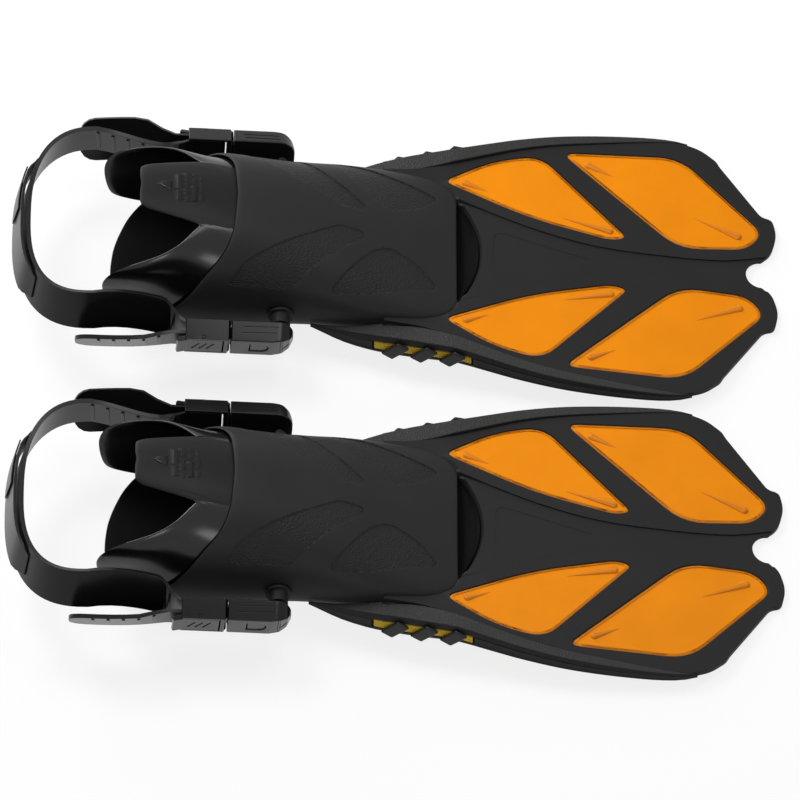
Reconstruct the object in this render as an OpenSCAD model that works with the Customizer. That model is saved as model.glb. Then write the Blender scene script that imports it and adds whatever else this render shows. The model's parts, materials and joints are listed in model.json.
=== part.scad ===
// Pair of adjustable open-heel snorkelling fins.
// Each fin is drawn with its heel at x = 0, its blade tip towards +X and its sole on z = 0.
// side = 1 is the fin's +Y side and side = -1 its -Y side.

/* [Fins] */
// Length of a fin from the back of the sole to the blade tip
fin_length = 457; // [380:1:550]
// Gap between the two blades, side by side
fin_gap = 11; // [6:1:80]

/* [Foot pocket] */
// Length of the foot pocket from the heel to the toe rim
pocket_length = 237; // [195:1:285]
// Full outer width of the foot pocket at the ball of the foot
pocket_width = 130; // [108:1:156]
// Height of the foot pocket at the top of its collar
pocket_height = 93; // [77:1:112]
// Wall of the foot pocket
pocket_wall = 3.5; // [2.5:0.1:4.5]
// Thickness of the sole inside the foot pocket
sole_thick = 6; // [4:0.5:8]
// Thickness of the grip pad under the heel
tread_thick = 2.2; // [1.5:0.1:4]

/* [Inner cuff] */
// Thickness of the soft cuff
cuff_thick = 1.8; // [1.2:0.1:2.4]
// Gap between the cuff and the foot pocket around it
cuff_gap = 0.4; // [0.3:0.1:0.8]
// Width of the instep tongue at its root
tongue_width = 56; // [44:1:62]

/* [Blade] */
// Full width of the blade across both rails
blade_width = 227; // [188:1:273]
// Thickness of the blade frame
frame_thick = 4; // [3:0.25:6]
// Thickness of the orange windows
window_thick = 2.4; // [1.5:0.1:3]
// Depth that the spine channel is sunk into the frame
channel_depth = 1; // [0.4:0.1:1.5]
// Width of the notch between the two tip lobes
notch_width = 23; // [16:1:30]

/* [Rails] */
// Width of a side rail in its middle stretch
rail_width = 9.5; // [6:0.5:11]
// Depth of the recess that holds the orange core
core_depth = 3; // [2:0.1:4]
// Number of wraps over each core
wrap_count = 3; // [2:1:4]

/* [Buckles] */
// Length of a receiver
receiver_length = 42; // [38:1:46]
// Length of a buckle plug's frame
plug_length = 29; // [27:1:34]
// Gap between a plug's frame and its receiver
plug_gap = 1.8; // [1:0.1:5]
// Thickness of a buckle
buckle_thick = 15; // [13:0.5:18]
// Wall of a buckle
buckle_wall = 2; // [1.8:0.1:2.6]
// Distance from the heel to the posts
post_x = 118; // [110:0.5:128]
// Height of the posts above the floor
post_z = 35; // [33:1:44]
// Radius of the posts
post_r = 4; // [3:0.1:5]
// Running gap around posts and pins
run_gap = 0.06; // [0.02:0.01:0.09]
// Distance from the pocket's widest line to the inner face of a buckle
buckle_standoff = 13.5; // [10:0.5:16]
// How much a buckle's front end dips, in degrees
buckle_pitch = 4; // [0:0.5:10]
// How far the top of a buckle leans outwards, in degrees
buckle_lean = 20; // [0:0.5:22]
// Radius of the lever pins
pin_r = 1.2; // [1:0.1:1.5]

/* [Heel strap] */
// Width of the strap inside the buckles
strap_width = 22; // [19:0.5:30]
// Width of the strap round the heel, and of the paddles that its loose tails end in
heel_width = 30; // [25:0.5:34]
// Thickness of the strap
strap_thick = 3; // [2.4:0.1:3.6]
// How far the strap reaches behind the heel of the sole
strap_reach = 56; // [45:1:75]
// Height of the middle of the strap behind the heel
heel_strap_z = 53; // [45:1:70]
// Length of each loose strap tail behind its buckle
tail_length = 74; // [40:1:80]

/* [Hidden] */
fin_pitch = blade_width + fin_gap;
$fn = 48;

// ---- colours ----
RUBBER = [0.13, 0.13, 0.13];
SOFT_RUBBER = [0.08, 0.08, 0.08];
RAIL_RUBBER = [0.18, 0.18, 0.18];
BUCKLE_PLASTIC = [0.1, 0.1, 0.11];
WINDOW_ORANGE = [0.93, 0.56, 0.08];
CORE_YELLOW = [0.82, 0.62, 0.1];

// ---- small helpers ----
function mix(a, b, t) = a + (b - a) * t;
function clamp01(t) = max(0, min(1, t));
function ease(t) = let (c = clamp01(t)) c * c * (3 - 2 * c);
function signed_pow(v, p) = sign(v) * pow(abs(v), p);
function unit(v) = v / norm(v);
// Smooth curve through a table of [x, value], level before its first entry and after its last
function curve(x, table) = let (last = len(table) - 1)
  x <= table[0][0] ? table[0][1] : x >= table[last][0] ? table[last][1]
  : let (i = max([for (k = [0:last - 1]) if (table[k][0] <= x) k]),
         a = table[max(0, i - 1)], b = table[i], c = table[i + 1], d = table[min(last, i + 2)],
         run = c[0] - b[0], t = (x - b[0]) / run,
         slope_b = (c[1] - a[1]) / (c[0] - a[0]) * run, slope_c = (d[1] - b[1]) / (d[0] - b[0]) * run)
    (2 * t * t * t - 3 * t * t + 1) * b[1] + (t * t * t - 2 * t * t + t) * slope_b
    + (3 * t * t - 2 * t * t * t) * c[1] + (t * t * t - t * t) * slope_c;
function reversed(list) = [for (i = [len(list) - 1:-1:0]) list[i]];
function flip(points) = [for (p = points) [p[0], -p[1]]];

// Outline with each corner [x, y, reach] rounded by a curve that starts and ends `reach` from the corner
ROUND_STEPS = 5;
// Points of one rounded corner; its reach is never over half of the shorter side beside it
function corner(before, p, after, reach) =
  let (most = 0.49 * min(norm(before - p), norm(after - p)), r = min(reach, most),
       a = p + unit(before - p) * r, b = p + unit(after - p) * r)
    [for (k = [0:ROUND_STEPS]) let (t = k / ROUND_STEPS)
      (1 - t) * (1 - t) * a + 2 * t * (1 - t) * p + t * t * b];
function flat(c) = [c[0], c[1]];
function corner_at(corners, i) = let (n = len(corners), before = corners[(i + n - 1) % n])
  corner(flat(before), flat(corners[i]), flat(corners[(i + 1) % n]), corners[i][2]);
function rounded(corners) = [for (i = [0:len(corners) - 1], p = corner_at(corners, i)) p];
// The same rounding for an open run of corners, whose two end corners are left out
function rounded_open(corners) = [for (i = [1:len(corners) - 2], p = corner_at(corners, i)) p];

// Closed solid through rings of an equal, even number of points, each end closed by a strip
function ring_faces(rings, count) = concat(
  [for (i = [0:rings - 2], j = [0:count - 1])
    let (a = i * count + j, b = i * count + (j + 1) % count) [a, b, b + count]],
  [for (i = [0:rings - 2], j = [0:count - 1])
    let (a = i * count + j, b = i * count + (j + 1) % count) [a, b + count, a + count]],
  [for (j = [0:count / 2 - 2], t = [[0, 2, 1], [0, 3, 2]]) strip_corners(0, count, j, t)],
  [for (j = [0:count / 2 - 2], t = [[0, 1, 2], [0, 2, 3]]) strip_corners((rings - 1) * count, count, j, t)]
);
// Triangle t of the end strip's square j, in the ring that starts at point `first`
function strip_corners(first, count, j, t) =
  let (square = [j, j + 1, count - 2 - j, count - 1 - j]) [for (c = t) first + square[c]];
module loft(rings) {
  faces = ring_faces(len(rings), len(rings[0]));
  polyhedron(points = [for (r = rings, p = r) p], faces = faces, convexity = 8);
}

// ---- the foot pocket's shape ----
half_pocket = pocket_width / 2;
toe_start = 0.865 * pocket_length;
rim_outer = 0.34 * pocket_width + 1;
crescent_depth = 0.0695 * pocket_length;
blade_root_z = 29;
widest_z = 38;

// Half width of the pocket at a distance x from the heel
function pocket_half(x) = half_pocket * curve(x / pocket_length, [
  [0.00, 0.83], [0.10, 0.87], [0.20, 0.90], [0.37, 0.925], [0.55, 0.93], [0.67, 0.985], [0.78, 1.00],
  [0.865, 0.97]]);
// Height of the pocket's top line
function pocket_top(x) = pocket_height * curve(x / pocket_length, [
  [0.00, 1.16], [0.10, 1.14], [0.27, 1.08], [0.37, 1.00], [0.47, 0.925], [0.55, 0.85], [0.67, 0.74],
  [0.78, 0.61], [0.865, 0.52]]);
// Height of the sole's under side
function pocket_bottom(x) = tread_thick + 0.3 + 10 * ease((x / pocket_length - 0.22) / 0.75);
// Height of the widest line
function pocket_mid(x) = widest_z - 5 * ease((x / pocket_length - 0.45) / 0.45);

// Point on the pocket's skin, ang degrees round from the +Y side over the top, `inset` inside the skin.
// The powers make its section a little squarer than an ellipse above, and flatter below.
upper_power = 0.87;
lower_power = 0.67;
function pocket_point(x, ang, inset, floor_inset) =
  let (c = cos(ang), s = sin(ang), p = s >= 0 ? upper_power : lower_power, mid = pocket_mid(x),
       rise = s >= 0 ? pocket_top(x) - inset - mid : mid - pocket_bottom(x) - floor_inset)
    [x, (pocket_half(x) - inset) * signed_pow(c, p), mid + rise * signed_pow(s, p)];

// Where the pocket's rear edge (its collar) lies, by the angle above the sides; -90 is under the sole
function collar_x(ang) = let (above = ang > 90 ? 180 - ang : ang < -90 ? -180 - ang : ang)
  pocket_length * lookup(above, [
    [-90, 0.000], [-75, 0.010], [-60, 0.028], [-45, 0.050], [-30, 0.080], [-15, 0.125], [0, 0.195],
    [10, 0.240], [25, 0.280], [35, 0.312], [45, 0.338], [60, 0.363], [90, 0.375]]);

// ---- the blade's plane ----
// It runs from the toe rim down to the tip, whose lower edge meets the floor
blade_run = fin_length - pocket_length;
half_frame = frame_thick / 2;
blade_drop = asin(blade_root_z / norm([blade_run, half_frame])) - atan2(half_frame, blade_run);
function blade_z(x) = blade_root_z - (x - pocket_length) * tan(blade_drop);
tip_x = pocket_length + blade_run * cos(blade_drop) + half_frame * sin(blade_drop);

// Point of the pocket's front edge: the rear edge of the toe opening above, and its front edge below.
// It stands `lip` above the blade's middle outside, and a little below it inside.
lip = 2;
lip_inside = 1.2;
function toe_end(ang, inset) =
  let (s = sin(ang), x = pocket_length + (s < 0 ? (crescent_depth - inset * 0.5) * s * s : 0))
    [x, (rim_outer - inset) * cos(ang), blade_z(x) + (inset > 0 ? -lip_inside * s : lip * s)];

TOE_FROM = 0.68;
// Skin point by the share t of the way from the collar to the toe
function skin_point(ang, t, inset, floor_inset) =
  let (q = (t - TOE_FROM) / (1 - TOE_FROM))
    t <= TOE_FROM
      ? pocket_point(mix(collar_x(ang), toe_start, t / TOE_FROM), ang, inset, floor_inset)
      : let (a = pocket_point(toe_start, ang, inset, floor_inset), b = toe_end(ang, inset),
             s = sin(90 * q), c = cos(90 * q), zshare = sin(ang) >= 0 ? 1 - s : c)
        [mix(a[0], b[0], s), b[1] + (a[1] - b[1]) * c, b[2] + (a[2] - b[2]) * zshare];

POCKET_SEGMENTS = 40;
POCKET_RINGS = 14;
module foot_pocket() {
  angles = [for (i = [0:POCKET_SEGMENTS - 1]) -90 + 360 * i / POCKET_SEGMENTS];
  shares = [for (k = [0:POCKET_RINGS]) k / POCKET_RINGS];
  outer = [for (t = shares) [for (a = angles) skin_point(a > 180 ? a - 360 : a, t, 0, 0)]];
  inner = [for (t = reversed(shares))
    [for (a = angles) skin_point(a > 180 ? a - 360 : a, t, pocket_wall, sole_thick)]];
  rings = concat(outer, inner);
  count = POCKET_SEGMENTS;
  total = len(rings);
  color(RUBBER) polyhedron(
    points = [for (r = rings, p = r) p],
    faces = concat(
      [for (i = [0:total - 1], j = [0:count - 1])
        let (n = (i + 1) % total, a = i * count + j, b = i * count + (j + 1) % count,
             d = n * count + (j + 1) % count) [a, d, b]],
      [for (i = [0:total - 1], j = [0:count - 1])
        let (n = (i + 1) % total, a = i * count + j, d = n * count + (j + 1) % count, e = n * count + j)
          [a, e, d]]),
    convexity = 10);
}

// ---- the cuff ----
cuff_low = -26;
cuff_overlap = 24;
cuff_inset = pocket_wall + cuff_gap;
notch_share = 0.27;
notch_half = pocket_half(notch_share * pocket_length) - cuff_inset;
notch_angle = acos(pow(tongue_width / 2 / notch_half, 1 / upper_power));
// Rear edge of the cuff, as a distance from the heel: two side flaps, two notches and the tongue
function cuff_x(ang) = let (above = ang > 90 ? 180 - ang : ang)
  above > notch_angle
    ? pocket_length * lookup((above - notch_angle) / (90 - notch_angle), [
        [0, notch_share], [0.04, 0.255], [0.17, 0.190], [0.28, 0.130], [0.34, 0.106], [0.44, 0.096],
        [0.92, 0.096], [1, 0.101]])
    : pocket_length * lookup(above, [
        [cuff_low, 0.135], [-18, 0.070], [-11, 0.026], [-4, 0.002], [4, -0.010], [12, -0.014], [19, -0.008],
        [25, 0.010], [30, 0.036], [35, 0.078], [40, 0.128], [46, 0.178], [53, 0.225],
        [notch_angle, notch_share]]);
// The flaps flare outwards behind the collar, most of all halfway up
flare_most = 8;
flare_from = 8;
flare_run = 38;
function flare(x, ang) = let (above = ang > 90 ? 180 - ang : ang)
  flare_most * ease((collar_x(ang) - flare_from - x) / flare_run)
  * ease(above / 30) * ease((notch_angle - above) / 14);
cuff_half_angles = concat(
  [for (k = [0:16]) mix(cuff_low, notch_angle - 4, k / 16)], [notch_angle - 1.5],
  [for (k = [0:9]) mix(notch_angle, 90, pow(k / 9, 1.25))]);
cuff_angles = concat(
  cuff_half_angles,
  [for (k = [len(cuff_half_angles) - 2:-1:0]) 180 - cuff_half_angles[k]]);
CUFF_RINGS = 5;
module inner_cuff() {
  rows = [for (k = [0:CUFF_RINGS]) k / CUFF_RINGS];
  function at(ang, t, inset) =
    let (x = mix(cuff_x(ang), collar_x(ang) + cuff_overlap, t),
         p = pocket_point(x, ang, inset, sole_thick + cuff_gap + inset - cuff_inset))
      [p[0], p[1] + sign(p[1]) * flare(x, ang), p[2]];
  color(SOFT_RUBBER) loft([
    for (ang = cuff_angles)
      concat([for (t = rows) at(ang, t, cuff_inset)],
             [for (t = reversed(rows)) at(ang, t, cuff_inset + cuff_thick)])
  ]);
}

// ---- the heel tread ----
tread_length = 44;
tread_width = 58;
tread_from = 6;
module heel_tread() {
  corner = 12;
  color(SOFT_RUBBER) linear_extrude(tread_thick) union() {
    translate([tread_from + corner, -tread_width / 2]) square([tread_length - 2 * corner, tread_width]);
    translate([tread_from, -tread_width / 2 + corner]) square([tread_length, tread_width - 2 * corner]);
    for (x = [tread_from + corner, tread_from + tread_length - corner], s = [-1, 1])
      translate([x, s * (tread_width / 2 - corner)]) circle(corner);
  }
}

// ---- blade outlines, in the blade's plane: x from the toe rim, y from the centre line ----
half_blade = blade_width / 2;
function along(f) = blade_run * f;
function across(f) = half_blade * f;

// Outer edge of the fin, rails included, from the sides of the pocket to the tip lobes
edge_from = 0.582 * pocket_length;
frame_start = 0.79 * pocket_length;
rail_gap = 0.2;
pocket_gap = 0.95;
function blade_share(x) = (x - pocket_length) / blade_run;
// The least half width that leaves room for the pocket and the rail
function least_half(x) = x < frame_start ? pocket_half(x) + 1
  : x < pocket_length ? pocket_plan_half(x) + pocket_gap + rail_gap + rail_thick(x) + 1 : 0;
function edge_half(x) = max(least_half(x), half_blade * curve(blade_share(x), [
  [-0.450, 0.550], [-0.360, 0.610], [-0.237, 0.683], [-0.120, 0.737], [-0.005, 0.785], [0.100, 0.845],
  [0.190, 0.896], [0.310, 0.947], [0.436, 0.979], [0.560, 0.997], [0.636, 1.000], [0.690, 0.992],
  [0.727, 0.970]]));
function rail_thick(x) = rail_width * curve(blade_share(x), [
  [-0.30, 1.00], [-0.21, 1.25], [-0.11, 1.50], [0.00, 1.30], [0.19, 1.00], [0.436, 0.78], [0.600, 0.48],
  [0.690, 0.22], [0.720, 0.10]]);
rail_end = pocket_length + 0.72 * blade_run;

// Half width that the pocket needs at the blade's level
function pocket_plan_half(x) = x <= toe_start ? pocket_half(x)
  : let (s = clamp01((x - toe_start) / (pocket_length - toe_start)))
    rim_outer + (pocket_half(toe_start) - rim_outer) * sqrt(1 - s * s);

function frame_half(x) = edge_half(x) - rail_thick(x) - rail_gap;
REAR_STEPS = 9;
CRESCENT_STEPS = 12;
// Half of the frame's outline: the notch and the rest follow from the same stations as the rail's
function frame_side() = concat(
  // rear edge: the concave middle, then along the pocket's side
  [for (k = [0:CRESCENT_STEPS]) let (a = 90 * (1 - k / CRESCENT_STEPS))
    [crescent_depth * sin(a) * sin(a) + pocket_gap, (rim_outer + pocket_gap) * cos(a)]],
  [for (k = [1:REAR_STEPS]) let (a = 90 * (1 - k / REAR_STEPS))
    [(pocket_length - toe_start + pocket_gap) * sin(a) + toe_start - pocket_length,
     rim_outer + (pocket_half(toe_start) - rim_outer + pocket_gap) * cos(a)]],
  [[frame_start - pocket_length, pocket_half(frame_start) + pocket_gap]],
  // outer edge beside the rail
  [for (x = rail_stations) if (x >= frame_start) [x - pocket_length, frame_half(x)]],
  // tip: shoulder, step, lobe and notch
  rounded_open([
    [along(0.720), across(0.965), 0], [along(0.768), across(0.930), 10], [along(0.815), across(0.850), 8],
    [along(0.824), across(0.812), 4], [along(0.952), across(0.440), 6], [along(0.986), across(0.425), 6],
    [along(1.000), across(0.300), 12], [along(0.980), across(0.160), 8],
    [along(0.948), notch_width / 2, 0]]),
  [for (k = [0:CRESCENT_STEPS]) let (a = 90 * k / CRESCENT_STEPS)
    [along(0.948) - 0.45 * notch_width * sin(a), notch_width / 2 * cos(a)]]
);
function frame_outline() = concat(frame_side(), reversed(flip(frame_side())));

// The four windows. A toe window's rear corner keeps its distance from the foot pocket.
toe_corner_x = -9.5;
toe_corner_margin = 1.6;
toe_corner_y = pocket_plan_half(pocket_length + toe_corner_x) + pocket_gap + toe_corner_margin;
function toe_window() = rounded([
  [toe_corner_x, toe_corner_y, 8], [along(0.115), max(across(0.722), toe_corner_y + 14), 20],
  [along(0.262), across(0.790), 13], [along(0.533), across(0.200), 8], [along(0.480), across(0.172), 6],
  [along(0.230), across(0.292), 24]]);
function tip_window() = rounded([
  [along(0.328), across(0.828), 10], [along(0.480), across(0.842), 20], [along(0.700), across(0.862), 16],
  [along(0.958), across(0.318), 10], [along(0.905), across(0.182), 10], [along(0.690), across(0.148), 16]]);

// Spine channel between the windows: it runs from the toe opening out into the tip notch
CHANNEL_STEPS = 18;
channel_shares = [
  [-0.020, 0.420], [0.038, 0.370], [0.133, 0.290], [0.259, 0.200], [0.415, 0.122], [0.575, 0.088],
  [0.811, 0.078], [0.920, 0.112], [1.010, 0.160]];
function channel_side() = [
  for (k = [0:CHANNEL_STEPS]) let (f = mix(channel_shares[0][0], channel_shares[8][0], k / CHANNEL_STEPS))
    [along(f), half_blade * curve(f, channel_shares)]];
function channel_outline() = concat(channel_side(), reversed(flip(channel_side())));

module on_blade() {
  translate([pocket_length, 0, blade_root_z]) rotate([0, blade_drop, 0]) children();
}

module blade_frame() {
  color(RUBBER) on_blade() difference() {
    translate([0, 0, -half_frame]) linear_extrude(frame_thick) difference() {
      polygon(frame_outline());
      polygon(toe_window());
      polygon(flip(toe_window()));
      polygon(tip_window());
      polygon(flip(tip_window()));
    }
    translate([0, 0, half_frame - channel_depth])
      linear_extrude(channel_depth + 1) polygon(channel_outline());
  }
}
module window(outline, side) {
  color(WINDOW_ORANGE) on_blade() translate([0, 0, -window_thick / 2]) linear_extrude(window_thick)
    polygon(side > 0 ? outline : flip(outline));
}

// ---- side rails ----
// Their tops and bottoms run together at both ends
rail_rise = 4.5;
rail_drop = 12;
rail_rear_z = 27.5;
rail_rear_run = 70;
rail_floor_gap = 0.4;
function rail_top(x) = x < pocket_length
  ? mix(rail_rear_z, blade_root_z + rail_rise, ease((x - edge_from) / rail_rear_run))
  : blade_z(x) + curve(blade_share(x), [[0, rail_rise], [0.3, 3.6], [0.6, 2.6], [0.72, half_frame]]);
function rail_bottom(x) = x < pocket_length
  ? curve(x, [
      [edge_from, 24], [edge_from + 22, 16], [frame_start, 14], [pocket_length, blade_root_z - rail_drop]])
  : max(rail_floor_gap, blade_z(x) - curve(blade_share(x), [
      [0, rail_drop], [0.2, 10], [0.436, 8], [0.636, 5.5], [0.72, 2.5]]));
core_from = 0.76 * pocket_length;
core_to = 1.045 * pocket_length;
plain_groove = 0.7;
core_end_run = 0.5;
function groove_depth(x) = x >= core_from && x <= core_to ? core_depth : plain_groove;
function rail_inner(x) = x < frame_start ? pocket_half(x) + 0.5 : edge_half(x) - rail_thick(x);
// The groove lies between two shares of the rail's height
groove_high = 0.69;
groove_low = 0.19;
function rail_level(x, share) = mix(rail_bottom(x), rail_top(x), share);
RAIL_STEPS = 34;
function sorted(list) = len(list) <= 1 ? list
  : let (pivot = list[floor(len(list) / 2)])
    concat(sorted([for (v = list) if (v < pivot) v]), [pivot], sorted([for (v = list) if (v > pivot) v]));
rail_stations = sorted(concat(
  [for (k = [0:RAIL_STEPS]) mix(edge_from, rail_end, k / RAIL_STEPS)],
  [core_from - core_end_run, core_from, core_to, core_to + core_end_run, frame_start - 0.6, frame_start]));
function rail_section(x) =
  let (o = edge_half(x), i = min(rail_inner(x), o - 0.8), d = min(groove_depth(x), (o - i) * 0.6),
       shoulder = min(1, (o - i) * 0.5), t = rail_top(x), b = rail_bottom(x),
       high = rail_level(x, groove_high), low = rail_level(x, groove_low))
    [[x, i, t], [x, o - shoulder, t], [x, o, high], [x, o - d, high - 0.3], [x, o - d, low + 0.3],
     [x, o - 0.4 * shoulder, low], [x, o - 1.5 * shoulder, b], [x, i, b]];
module rail(side) {
  color(RAIL_RUBBER) mirror([0, side < 0 ? 1 : 0, 0]) loft([for (x = rail_stations) rail_section(x)]);
}
// Orange core in the rail's recess
core_gap = 0.2;
core_end_gap = 1;
core_stations = concat([core_from + core_end_gap],
  [for (x = rail_stations) if (x > core_from + 2 * core_end_gap && x < core_to - 2 * core_end_gap) x],
  [core_to - core_end_gap]);
function core_section(x) =
  let (o = edge_half(x) - 0.5, i = edge_half(x) - core_depth + core_gap,
       t = rail_level(x, groove_high) - 0.3 - core_gap, b = rail_level(x, groove_low) + 0.3 + core_gap)
    [[x, i, t], [x, o, t - 0.6], [x, o, b + 0.6], [x, i, b]];
module rail_core(side) {
  color(CORE_YELLOW) mirror([0, side < 0 ? 1 : 0, 0])
    loft([for (x = core_stations) core_section(x)]);
}
// Slanting bars over the core, each far enough out to clear the edge all along
wrap_length = 9;
wrap_thick = 2.4;
wrap_slant = 28;
wrap_gap = 0.3;
module rail_wraps(side) {
  color(RUBBER) mirror([0, side < 0 ? 1 : 0, 0])
    for (k = [0:wrap_count - 1]) {
      x = mix(core_from, core_to, (k + 0.8) / (wrap_count + 0.5));
      height = rail_level(x, groove_high) - rail_level(x, groove_low) + 5;
      slope = (edge_half(x + wrap_length) - edge_half(x - wrap_length)) / (2 * wrap_length);
      bulge = max([for (d = [-wrap_length:1:wrap_length]) edge_half(x + d) - edge_half(x) - d * slope]);
      translate([x, edge_half(x) + bulge + wrap_gap, rail_level(x, (groove_high + groove_low) / 2)])
        rotate([0, 0, atan(slope)]) rotate([0, wrap_slant, 0])
          translate([-wrap_length / 2, 0, -height / 2]) cube([wrap_length, wrap_thick, height]);
    }
}

// ---- buckles: local x runs forward from the post, local y outwards from mid thickness, local z up ----
buckle_height = strap_width + 0.6 + 2 * buckle_wall;
half_buckle = buckle_thick / 2;
half_height = buckle_height / 2;
receiver_front = 8.5;
receiver_rear = receiver_front - receiver_length;
plug_front = receiver_rear - plug_gap;
plug_rear = plug_front - plug_length;
beside_pocket = 0.93 * half_pocket;
buckle_y = beside_pocket + buckle_standoff + half_buckle;
head_r = post_r + 1.3;
head_thick = 2;
head_y = half_buckle - 3.6;
head_gap = 0.35;

module at_buckle(side) {
  mirror([0, side < 0 ? 1 : 0, 0])
    translate([post_x, buckle_y, post_z]) rotate([0, buckle_pitch, 0]) children();
}
module leaning() { rotate([-buckle_lean, 0, 0]) children(); }

// Posts on the pocket's sides: a flange against the pocket, a boss, and a headed pin inside the receiver
flange_r = 9;
post_foot_y = max([for (x = [-flange_r:3:flange_r]) pocket_half(post_x + x)]) + 0.3;
// The boss ends short of the leaning receiver's inner face
boss_r = post_r + 2.5;
boss_gap = 0.3;
receiver_reach = half_buckle * cos(buckle_lean)
  + (boss_r + half_buckle * sin(buckle_lean)) * tan(buckle_lean);
boss_end_y = buckle_y - receiver_reach - boss_gap;
module strap_posts() {
  color(BUCKLE_PLASTIC) for (side = [-1, 1])
    mirror([0, side < 0 ? 1 : 0, 0]) translate([post_x, post_foot_y, post_z]) rotate([-90, 0, 0]) {
      cylinder(h = 2, r = flange_r);
      cylinder(h = boss_end_y - post_foot_y, r = boss_r);
      cylinder(h = buckle_y + head_y - post_foot_y, r = post_r);
      translate([0, 0, buckle_y + head_y - head_thick - post_foot_y]) cylinder(h = head_thick, r = head_r);
    }
}

// Receiver: a bullet-shaped case with a tunnel from the rear, a window in its outer face and a bored front
tunnel_half_z = half_height - buckle_wall - 3;
tunnel_inner_y = -half_buckle + 3.4;
tunnel_outer_y = half_buckle - 1.8;
tunnel_front = -(head_r + head_gap + 1.2);
nose_r = 11;
window_half_z = 6.5;
window_front = tunnel_front - 1;
window_rear = window_front - 2 * window_half_z;
module receiver_side_view() {
  union() {
    translate([receiver_rear, -half_height]) square([receiver_length - nose_r, buckle_height]);
    translate([receiver_rear, -half_height + nose_r]) square([receiver_length, buckle_height - 2 * nose_r]);
    for (s = [-1, 1]) translate([receiver_front - nose_r, s * (half_height - nose_r)]) circle(nose_r);
  }
}
module receiver_top_view() {
  polygon([[receiver_rear, -half_buckle], [receiver_front - 5, -half_buckle],
           [receiver_front, -half_buckle + 3], [receiver_front, half_buckle - 8],
           [receiver_front - 2.5, half_buckle - 4], [receiver_front - 7, half_buckle - 1.3],
           [receiver_front - 14, half_buckle], [receiver_rear, half_buckle]]);
}
// D-shaped window outline, `inset` smaller all round
module d_shape(inset) {
  union() {
    translate([window_rear + inset, -window_half_z + inset])
      square([window_half_z - inset, 2 * (window_half_z - inset)]);
    translate([window_front - window_half_z, 0]) circle(window_half_z - inset);
  }
}
module receiver(side) {
  color(BUCKLE_PLASTIC) at_buckle(side) difference() {
    leaning() difference() {
      intersection() {
        translate([0, half_buckle, 0]) rotate([90, 0, 0]) linear_extrude(buckle_thick) receiver_side_view();
        translate([0, 0, -half_height]) linear_extrude(buckle_height) receiver_top_view();
      }
      translate([receiver_rear - 1, tunnel_inner_y, -tunnel_half_z])
        cube([tunnel_front - receiver_rear + 1, tunnel_outer_y - tunnel_inner_y, 2 * tunnel_half_z]);
      translate([0, half_buckle + 1, 0]) rotate([90, 0, 0]) linear_extrude(4) d_shape(0);
    }
    translate([0, -buckle_thick, 0])
      rotate([-90, 0, 0]) cylinder(h = buckle_thick + head_y - 1, r = post_r + run_gap);
    translate([0, head_y - head_thick - head_gap, 0])
      rotate([-90, 0, 0]) cylinder(h = head_thick + 2 * head_gap, r = head_r + head_gap);
  }
}

// Plug: two cheeks, a front wall with a wrap bar behind it, and a flat tongue that slides into the tunnel
tongue_reach = tunnel_front - plug_front - 1;
tongue_gap = 0.5;
tongue_thick = 2.8;
strap_in_y = -half_buckle + 1.8;
strap_out_y = 1.9;
wrap_bar_y = (strap_in_y + strap_out_y) / 2;
wrap_radius = (strap_out_y - strap_in_y) / 2;
buckle_strap_thick = 2.4;
wrap_bar_r = wrap_radius - buckle_strap_thick / 2 - 0.35;
front_wall = 3;
wrap_bar_x = plug_front - front_wall - wrap_radius - buckle_strap_thick / 2 - 0.8;
lever_pin_x = plug_rear + 12.3;
lever_pin_y = half_buckle - 1.9;
module plug(side) {
  color(BUCKLE_PLASTIC) at_buckle(side) leaning() difference() {
    union() {
      for (s = [-1, 1])
        translate([plug_rear, -half_buckle, s > 0 ? half_height - buckle_wall : -half_height])
          cube([plug_length, buckle_thick, buckle_wall]);
      translate([plug_front - front_wall, -half_buckle, -half_height])
        cube([front_wall, buckle_thick, buckle_height]);
      translate([wrap_bar_x, wrap_bar_y, 0]) cylinder(h = buckle_height - 1, r = wrap_bar_r, center = true);
      // the tongue, with room for the spring latch in its outer half
      translate([plug_front - 1, tunnel_inner_y + tongue_gap, -tunnel_half_z + tongue_gap])
        cube([tongue_reach + 1, tongue_thick, 2 * (tunnel_half_z - tongue_gap)]);
    }
    translate([lever_pin_x, lever_pin_y, 0]) cylinder(h = buckle_height + 2, r = pin_r, center = true);
  }
}
module lever_pins() {
  color(BUCKLE_PLASTIC) for (side = [-1, 1])
    at_buckle(side) leaning()
      translate([lever_pin_x, lever_pin_y, 0]) cylinder(h = buckle_height, r = pin_r, center = true);
}

// Lever: a rocking plate between the cheeks, bored for its pin, with a lip at the rear
lever_half_z = half_height - buckle_wall - 0.3;
lever_inner_y = strap_out_y + buckle_strap_thick / 2 + 0.3;
lever_rear = plug_rear - 5;
lever_front = plug_front - front_wall - 0.8;
module lever(side) {
  color(BUCKLE_PLASTIC) at_buckle(side) leaning() difference() {
    translate([0, 0, -lever_half_z]) linear_extrude(2 * lever_half_z)
      polygon([[lever_rear - 1, half_buckle - 0.6], [lever_rear + 1, half_buckle - 2.6],
               [plug_rear + 4, lever_inner_y], [lever_pin_x + 1, lever_inner_y],
               [lever_front, half_buckle - 1.6], [lever_front, half_buckle], [plug_rear + 2, half_buckle],
               [lever_rear, half_buckle + 1.4]]);
    translate([lever_pin_x, lever_pin_y, 0]) cylinder(h = buckle_height, r = pin_r + run_gap, center = true);
    for (k = [0:2])
      translate([plug_rear + 7 + 5 * k, half_buckle, 0])
        rotate([0, 25, 0]) cube([1.4, 1.2, lever_half_z], center = true);
  }
}

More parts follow.
